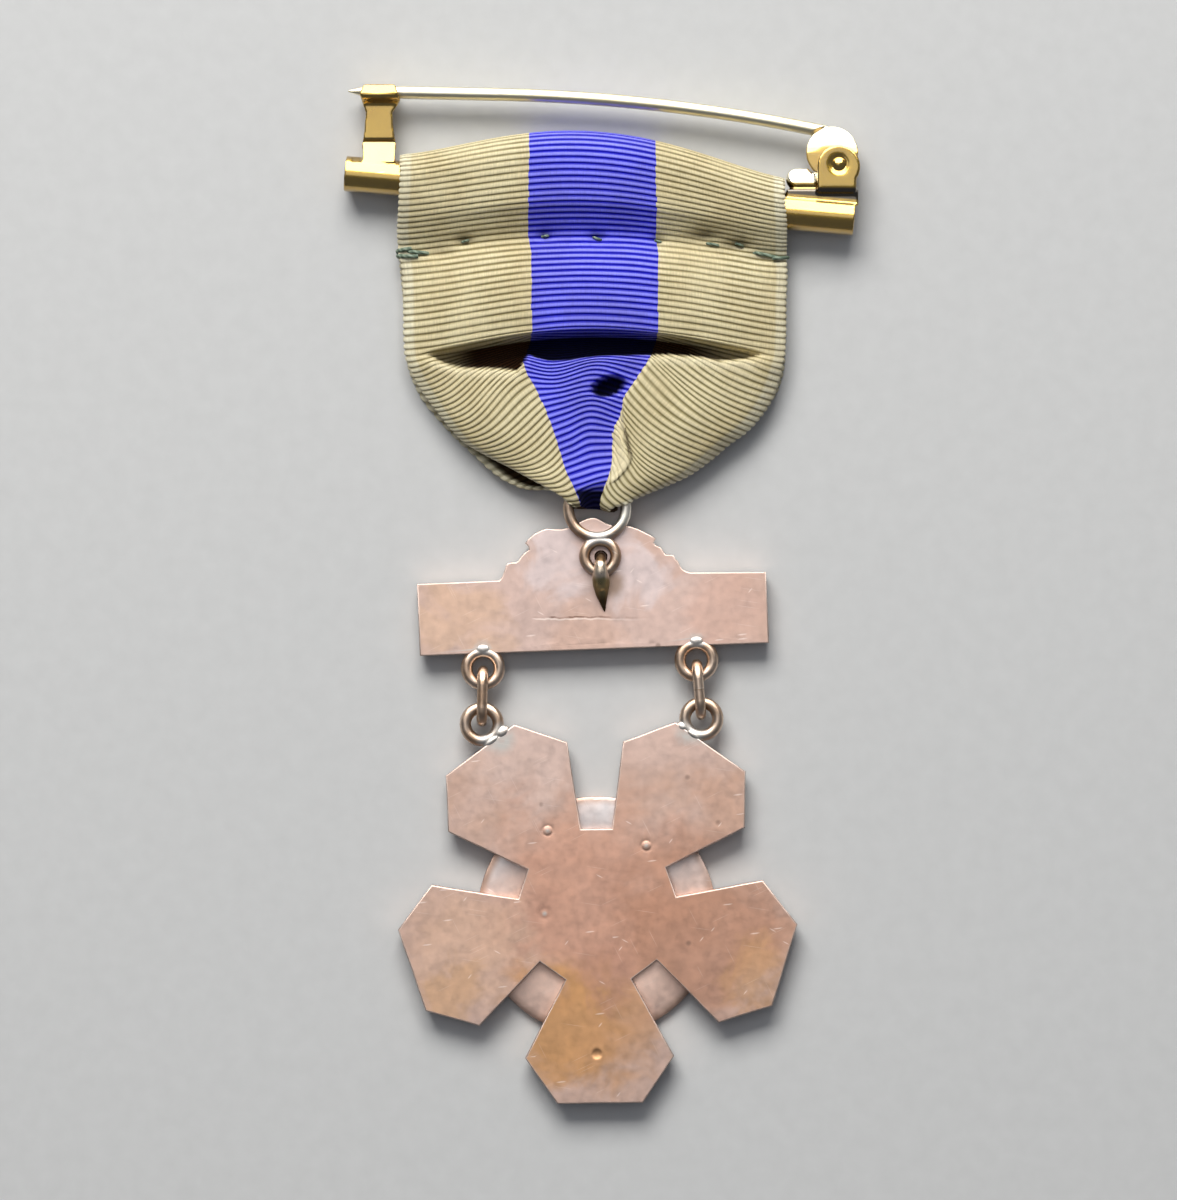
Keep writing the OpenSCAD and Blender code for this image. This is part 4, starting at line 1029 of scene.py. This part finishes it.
# Toning and wear, as seen on the back: centre x, y and reach in metres, how strong, and the colour there
bronze_patches = [
    (-0.001, -0.001, 0.019, 0.9, (0.545, 0.4, 0.345)), (-0.0045, 0.0032, 0.004, 0.6, (0.6, 0.52, 0.51)),
    (0.0032, 0.0028, 0.0042, 0.6, (0.6, 0.52, 0.51)), (-0.0128, -0.002, 0.004, 0.6, (0.56, 0.375, 0.255)),
    (0.0125, -0.001, 0.005, 0.6, (0.53, 0.345, 0.275)), (-0.001, -0.0278, 0.011, 0.8, (0.535, 0.295, 0.205)),
    (0.009, -0.031, 0.01, 0.8, (0.43, 0.23, 0.15)), (-0.0125, -0.032, 0.0065, 0.7, (0.58, 0.385, 0.28)),
    (-0.0035, -0.039, 0.0062, 0.85, (0.53, 0.278, 0.11)), (0.0015, -0.0395, 0.0052, 0.65, (0.5, 0.275, 0.14)),
    (0.0145, -0.035, 0.004, 0.6, (0.52, 0.3, 0.15)), (-0.014, -0.037, 0.0035, 0.6, (0.52, 0.32, 0.18)),
    (-0.0005, -0.035, 0.0035, 0.6, (0.43, 0.235, 0.165)), (0.0118, -0.0198, 0.0045, 0.5, (0.49, 0.295, 0.205)),
    (-0.006, -0.027, 0.003, 0.5, (0.42, 0.24, 0.175)), (-0.0078, 0.0036, 0.0026, 0.6, (0.5, 0.33, 0.25)),
    (0.0062, 0.004, 0.0028, 0.6, (0.5, 0.32, 0.24)), (-0.002, -0.0046, 0.0045, 0.55, (0.54, 0.355, 0.27)),
    (0.007, -0.011, 0.005, 0.45, (0.58, 0.42, 0.35)), (-0.0085, -0.015, 0.005, 0.45, (0.6, 0.46, 0.4))]


def bronze_tints(tree, spot, colour):
    """Uneven toning by hand in the bath, a painted shadow beside the hoop, and one long scratch across the bar below
    it.
    """
    x, y, z = xyz_of(tree, spot)
    on_back = range_of(tree, z, 0.0016, 0.002)
    flow = noise_of(tree, spot, 150.0, 4.0, 0.6, 0.6, output=1)
    pulled = place(tree, "ShaderNodeVectorMath", [flow, (0.5, 0.5, 0.5)], operation="SUBTRACT").outputs[0]
    pulled = place(tree, "ShaderNodeVectorMath", {0: pulled, "Scale": 0.013}, operation="SCALE").outputs[0]
    moved = place(tree, "ShaderNodeVectorMath", [spot, pulled], operation="ADD").outputs[0]
    for patch_x, patch_y, reach, strength, patch in bronze_patches:
        away = away_from(tree, moved, (patch_x, patch_y, 0.002))
        colour = mix_of(tree, range_of(tree, away, 1.15 * reach, 0.45 * reach, 0.0, strength), colour, patch)
    wobble = noise_of(tree, spot, 1100.0, 3.0)
    # Painted shadow of the hoop: dark brown on the bar's back beside its tail
    under_hoop = plus(tree, away_from(tree, spot, (0.0007, 0.001, 0.0022)), times(tree, wobble, 0.0006))
    painted_hoop_shadow = times(tree, range_of(tree, under_hoop, 0.0021, 0.0009, 0.0, 0.7), on_back)
    colour = mix_of(tree, painted_hoop_shadow, colour, (0.24, 0.15, 0.09))
    # The scratch is painted with a dark side, painted shade, and a light side, painted highlight, and is broken along
    # its length
    from_line = plus(tree, y, 0.00183, times(tree, wobble, 0.00035))
    light_line = plus(tree, from_line, 0.00018)
    strong = times(tree, range_of(tree, x, -0.0065, -0.0058), range_of(tree, x, 0.0048, -0.003), on_back)
    breaks = range_of(tree, noise_of(tree, spot, 700.0, 2.0), 0.36, 0.58, 0.1, 1.0)
    scratch_painted_shade = range_of(tree, math_of(tree, "ABSOLUTE", from_line), 0.00002, 0.00011, 0.8, 0.0)
    scratch_painted_highlight = range_of(tree, math_of(tree, "ABSOLUTE", light_line), 0.00002, 0.0001, 0.5, 0.0)
    colour = mix_of(tree, times(tree, scratch_painted_shade, breaks, strong), colour, (0.15, 0.08, 0.05))
    return mix_of(tree, times(tree, scratch_painted_highlight, strong), colour, (0.9, 0.8, 0.72))


worn_edge = ("worn", (0.56, 0.43, 0.36), 0.46)
bronze = metal_material("toned bronze", (0.535, 0.377, 0.311), (0.485, 0.325, 0.25), (0.9, 0.78, 0.7), 0.47, 0.005,
                        0.75, bronze_tints, shown=[worn_edge, tin_solder])

# Both plates: rounding of the back's edges, depth of the fields on the front, and points of the uneven back
plate_round, field_depth, face_grain = 0.09, 0.3, 0.5
bar_front_z, bar_back_z = 0.7, 2.2
# Outline of the back, in a ring from the bar's lower left corner, anticlockwise
bar_corners = [(-16.43, -5.49), (14.99, -4.32), (14.72, 2.07)]
arch_edge = [
    (7.94, 2.03), (7.55, 2.12), (7.16, 2.35), (6.97, 2.67), (6.78, 3.06), (6.52, 3.31), (6.39, 3.6),
    (5.68, 3.64), (5.54, 3.83), (5.23, 4.3), (4.84, 4.44), (4.62, 4.68), (4.8, 5.08), (4.32, 5.38),
    (3.81, 5.63), (3.29, 5.9), (2.52, 6.18), (1.67, 6.26), (0.86, 6.27), (0.32, 6.44), (-0.14, 6.71),
    (-0.51, 6.9), (-0.96, 6.96), (-1.35, 6.87), (-1.87, 6.67), (-2.48, 6.28), (-2.97, 6.07), (-3.67, 5.92),
    (-4.19, 5.92), (-4.97, 5.99), (-5.48, 5.83), (-6.13, 5.51), (-6.64, 5.06), (-6.97, 4.67), (-6.66, 4.34),
    (-6.62, 4.05), (-6.97, 3.83), (-7.35, 3.45), (-7.54, 3.12), (-7.78, 2.95), (-8.19, 2.93), (-8.54, 2.86),
    (-8.7, 2.61), (-8.84, 2.16), (-9.03, 1.64), (-9.29, 1.3),
]
bar_plate = Plate([*bar_corners, *arch_edge, (-16.7, 0.99)], bar_front_z, bar_back_z, plate_round)
bar_plate.close_back(face_grain, 21)
arch_field = [(-0.85 + 5.9 * math.cos(a), 1.0 + 4.3 * math.sin(a)) for a in np.linspace(0.06, math.pi - 0.1, 30)]
bar_plate.close_front([[(-15.72, -4.75), (14.26, -3.65), (14.05, 1.35), *arch_field, (-15.98, 0.28)]], field_depth)
clasp_plate = bar_plate.build("clasp_plate", [(-10.76, -5.1, 1.1), (8.46, -4.4, 1.1)])
fit(clasp_plate, bronze, "bronze", "clasp_bar")


def wire_loops(places):
    """The loops of bar and cross: ring radius, wire radius and height are the same for all four."""
    return [ring_mesh(at, 1.475, 0.525, 1.75) for at in places]


bar_loop_places = [(-10.76, -6.58), (8.46, -5.85)]
clasp_loops = soldered("clasp_loops", wire_loops(bar_loop_places),
                       [((x, y + 1.72, 2.14), (0.62, 0.42, 0.2), 2) for x, y in bar_loop_places])
fit(clasp_loops, toned_wire, "ring_wire", "clasp_bar")

# The hoop stands through the small ring, and its tapered tail lies down the bar's back: x, y, z and wire radius
hoop_path = [
    (-0.15, 3.45, 1.9, 0.46), (-0.15, 3.45, 2.6, 0.46), (-0.16, 3.36, 3.2, 0.46), (-0.17, 3.05, 3.72, 0.48),
    (-0.18, 2.6, 4.0, 0.54), (-0.18, 2.1, 3.92, 0.66), (-0.16, 1.6, 3.55, 0.78), (-0.12, 1.15, 3.15, 0.8),
    (-0.1, 0.7, 2.85, 0.72), (-0.06, 0.2, 2.68, 0.6), (0.0, -0.3, 2.56, 0.44), (0.08, -0.8, 2.46, 0.28),
    (0.14, -1.2, 2.38, 0.16), (0.2, -1.5, 2.28, 0.07),
]


def swept_wire(path):
    rows, section = 60, 20
    along = smooth_between(np.linspace(0, 1, len(path)), np.array(path), np.linspace(0, 1, rows))
    centre, radius = along[:, :3], along[:, 3]
    ahead = unit(np.gradient(centre, axis=0))
    side = unit(np.array([1.0, 0, 0]) - ahead * ahead[:, :1])
    up = np.cross(ahead, side)
    turns = np.linspace(0, 2 * np.pi, section, endpoint=False)[None, :, None]
    points = centre[:, None] + radius[:, None, None] * (np.cos(turns) * side[:, None] + np.sin(turns) * up[:, None])
    ends = [tuple(range(section))[::-1], tuple((rows - 1) * section + j for j in range(section))]
    return points.reshape(-1, 3), rows_joined(rows, section) + ends


hoop = soldered("hoop", [swept_wire(hoop_path)], [((-0.15, 3.45, 2.2), (0.62, 0.62, 0.14), 0)])


def wax_and_painted_shade(tree, spot, colour):
    """Dark olive wax and verdigris, with painted shade, on the hoop inside the small ring and on its tail."""
    blotch = math_of(tree, "SUBTRACT", noise_of(tree, spot, 900.0, 2.0), 0.5)
    height = plus(tree, xyz_of(tree, spot)[1], times(tree, blotch, 0.0008))
    for low, high, wax in ((0.0027, 0.0031, (0.1, 0.06, 0.03)), (0.0019, 0.0013, (0.34, 0.28, 0.14)),
                           (0.0006, -0.0006, (0.1, 0.065, 0.03))):
        colour = mix_of(tree, range_of(tree, height, low, high), colour, wax)
    return colour


hoop_wire = metal_material("waxed wire with painted shade", (0.74, 0.62, 0.48), (0.5, 0.36, 0.24), (0.92, 0.84, 0.72), 0.3, 0.003, 0.5,
                           wax_and_painted_shade)
fit(hoop, hoop_wire, "ring_wire", "clasp_bar")


# LINKS. Upright ovals of the same toned wire, each through a loop of the bar and a loop of the cross; the right
# one has an open slit where its ends meet.
for node in ("link_left", "link_right"):
    refinish(node, toned_wire)


# CROSS. A five-armed cross struck from the same bronze, with two wire loops soldered to its upper arms, the filed
# heads of the disc's three posts, and a punched dimple on the lowest arm.
cross_centre, cross_turn = (-0.45, -28.1), 0.8
# Corners of one half of an arm, and of the field on its front, along the arm and across it
arm_half = [(6.5, 3.0), (13.5, 6.7), (17.65, 3.85)]
arm_field = [(12.4, -5.2), (13.45, -5.85), (16.95, -3.45), (16.95, 3.45), (13.45, 5.85), (12.4, 5.2)]


def on_arm(k, corners):
    """Corners turned to the place of one of the five arms."""
    a = math.radians(-90 + 72 * k + cross_turn)
    return [(cross_centre[0] + x * math.cos(a) - y * math.sin(a), cross_centre[1] + x * math.sin(a) + y * math.cos(a))
            for x, y in corners]


def finely(outline, step=1.6):
    """The same outline with more points on its long sides, moved by a hair as on a filed edge."""
    rng = np.random.default_rng(4)
    out = []
    for a, b in zip(np.array(outline), np.roll(outline, -1, 0)):
        n = max(1, int(np.linalg.norm(b - a) / step))
        side = np.array([-(b - a)[1], (b - a)[0]]) / np.linalg.norm(b - a)
        out.append(tuple(a))
        out += [tuple(a + (b - a) * k / n + side * rng.uniform(-0.025, 0.025)) for k in range(1, n)]
    return out


# Marks on the back, as height by distance from their middle
post_head = [(0, 0.035), (0.25, 0.03), (0.38, 0.0), (0.45, -0.025), (0.55, -0.01), (0.75, 0)]
sunk_head = [(0, 0), (0.3, 0), (0.45, -0.018), (0.6, 0)]
punched = [(0, -0.085), (0.18, -0.075), (0.34, -0.045), (0.44, -0.01), (0.52, 0.012), (0.7, 0)]
post_places = [(-4.94, -21.2), (3.95, -22.55), (-5.21, -28.67)]
arm_corners = [(x, -y) for x, y in arm_half] + [(x, y) for x, y in reversed(arm_half)]
cross_front_z, cross_back_z = 0.95, 2.25
cross_outline = finely([p for k in range(5) for p in on_arm(k, arm_corners)])
cross_back = Plate(cross_outline, cross_front_z, cross_back_z, plate_round)
cross_back.close_back(face_grain, 31, [(*at, head) for at, head in zip(post_places, (post_head, post_head, sunk_head))]
                      + [(-0.5, -41.3, punched)])
cross_back.close_front([on_arm(k, arm_field) for k in range(5)], field_depth)
cross_solder = [(-9.2, -12.9, 1.7), (7.6, -12.4, 1.3), *[(*at, 0.3) for at in post_places]]
cross_plate = cross_back.build("cross_plate", cross_solder)
fit(cross_plate, bronze, "bronze", "cross")

cross_loops = soldered("cross_loops", wire_loops([(-10.87, -11.62), (8.91, -11.16)]),
                       [((-9.95, -13.12, 1.85), (1.05, 0.42, 0.5), 37), ((-9.0, -12.35, 1.95), (0.75, 0.5, 0.42), 37),
                        ((8.15, -12.55, 1.85), (1.0, 0.42, 0.5), -35), ((7.15, -11.85, 1.95), (0.55, 0.38, 0.38), -35)])
fit(cross_loops, toned_wire, "ring_wire", "cross")


# DISC. The round medallion on the front: struck bronze, dished on its back inside a narrow rim, with plain turned
# rings on its front and three posts that go through the cross. Greyer than the cross; its lighter top is a painted
# reflection.
def turned_disc(centre, section, sides=192):
    turns = np.linspace(0, 2 * np.pi, sides, endpoint=False)
    points = [(centre[0] + r * math.cos(a), centre[1] + r * math.sin(a), z) for r, z in section for a in turns]
    faces, middle, last_row = rows_joined(len(section), sides), len(points), len(points) - sides
    points += [(*centre, section[0][1]), (*centre, section[-1][1])]
    for j, n in zip(range(sides), [*range(1, sides), 0]):
        faces += [(middle, n, j), (middle + 1, last_row + j, last_row + n)]
    return points, faces


# Half sections, as radius and height: the sunk ground with three raised rings and the rim, then the dished back
ground, raised = 0.02, 0.14
front_profile = [(1.0, ground)]
for inner, outer in ((1.9, 2.5), (3.85, 4.45), (5.95, 6.65)):
    front_profile += [(inner, ground), (inner + 0.1, raised), (outer - 0.1, raised), (outer, ground)]
front_profile += [(9.25, ground), (9.35, raised), (9.85, raised), (9.95, 0.01), (10.3, 0.0), (10.5, 0.03), (10.7, 0.13)]
back_profile = [
    (10.79, 0.28), (10.8, 0.45), (10.8, 0.62), (10.77, 0.69), (10.7, 0.72), (10.45, 0.75), (10.0, 0.79),
    (9.4, 0.83), (8.7, 0.86), (7.9, 0.87), (7.0, 0.84), (6.0, 0.72), (4.5, 0.55), (3.0, 0.45), (1.8, 0.4),
    (0.6, 0.38),
]
post_profile = [(0.2, 0.3), (0.4, 0.3), (0.4, 2.0), (0.2, 2.0)]
disc_x, disc_y = -0.5, -28.98
disc_mesh = mesh_of("medallion", *together([turned_disc((disc_x, disc_y), [*front_profile, *back_profile]),
                                            *[turned_disc(at, post_profile, 24) for at in post_places]]))
crisp(disc_mesh)


def rim_tarnish_and_painted_top_light(tree, spot, colour):
    """Lighter top as a painted reflection, browner lower edge, and a brown ring inside the rim, where polish doesn't
    reach.
    """
    x, y, _ = xyz_of(tree, spot)
    flat = place(tree, "ShaderNodeCombineXYZ", [x, y, 0.0]).outputs[0]
    radius = away_from(tree, flat, (disc_x * MM, disc_y * MM, 0.0))
    wander = noise_of(tree, spot, 300.0, 3.0)
    low_side = range_of(tree, plus(tree, y, times(tree, wander, 0.006)), -0.019, -0.027)
    near_rim = times(tree, range_of(tree, radius, 0.0099, 0.0106), range_of(tree, wander, 0.3, 0.6, 0.4, 0.9))
    colour = mix_of(tree, times(tree, low_side, 0.9), colour, (0.78, 0.54, 0.43))
    return mix_of(tree, near_rim, colour, (0.42, 0.27, 0.2))


disc_bronze = metal_material("bronze disc", (0.6, 0.55, 0.53), (0.52, 0.44, 0.41), (0.85, 0.79, 0.74), 0.38, 0.004,
                             0.8, rim_tarnish_and_painted_top_light)
fit(new_object("medallion", disc_mesh), disc_bronze, "bronze_disc", "wreath_disc")


# FLOOR, LIGHT AND CAMERA. A pale table, a large soft window light from the badge's top, and a camera straight above.
table_half = 3000
corners = [(x * table_half, y * table_half, 0) for x, y in ((-1, -1), (1, -1), (1, 1), (-1, 1))]
floor_mesh = mesh_of("floor", corners, [(0, 1, 2, 3)])
floor = new_object("floor", floor_mesh)
table_top, tree, shader = new_material("table top")
grain = noise_of(tree, object_spot(tree), 600.0, 3.0)
tree.links.new(mix_of(tree, grain, (0.54, 0.54, 0.53), (0.6, 0.6, 0.59)), shader.inputs["Base Color"])
shader.inputs["Roughness"].default_value = 0.9
floor_mesh.materials.append(table_top)


def soft_light(name, at, towards, size, power, colour):
    data = bpy.data.lights.new(name, "AREA")
    data.shape, data.size, data.size_y = "RECTANGLE", size[0], size[1]
    data.energy, data.color = power, colour
    lamp = new_object(name, data)
    lamp.location = at
    lamp.rotation_euler = (Vector(towards) - Vector(at)).to_track_quat("-Z", "Y").to_euler()
    return lamp


window = soft_light("window", (-0.1, 0.5, 0.46), (0, 0, 0), (0.5, 0.34), 6.2, (1.0, 0.99, 0.97))
window.visible_glossy = False
soft_light("ceiling", (-0.12, 0.14, 0.95), (0, 0, 0), (0.5, 0.5), 0.8, (0.97, 0.98, 1.0))
# A wide white card behind the badge's top, which only shows as the long white shine on tube and pin
card = soft_light("white card", (-0.03, 0.614, 0.43), (0, 0, 0.01), (1.3, 1.0), 26.0, (1.0, 1.0, 1.0))
card.visible_diffuse = False
world = bpy.data.worlds.new("room")
world.use_nodes = True
world.node_tree.nodes["Background"].inputs[0].default_value = (0.8, 0.86, 1.0, 1.0)
world.node_tree.nodes["Background"].inputs[1].default_value = 0.16
bpy.context.scene.world = world
bpy.context.scene.view_settings.view_transform = "Standard"

camera_data = bpy.data.cameras.new("camera")
camera_data.lens, camera_data.sensor_width = 200, 36
camera_data.clip_start, camera_data.clip_end = 0.05, 20
camera = new_object("camera", camera_data)
camera.location = (-0.00126, -0.00045, 0.6022)
bpy.context.scene.camera = camera
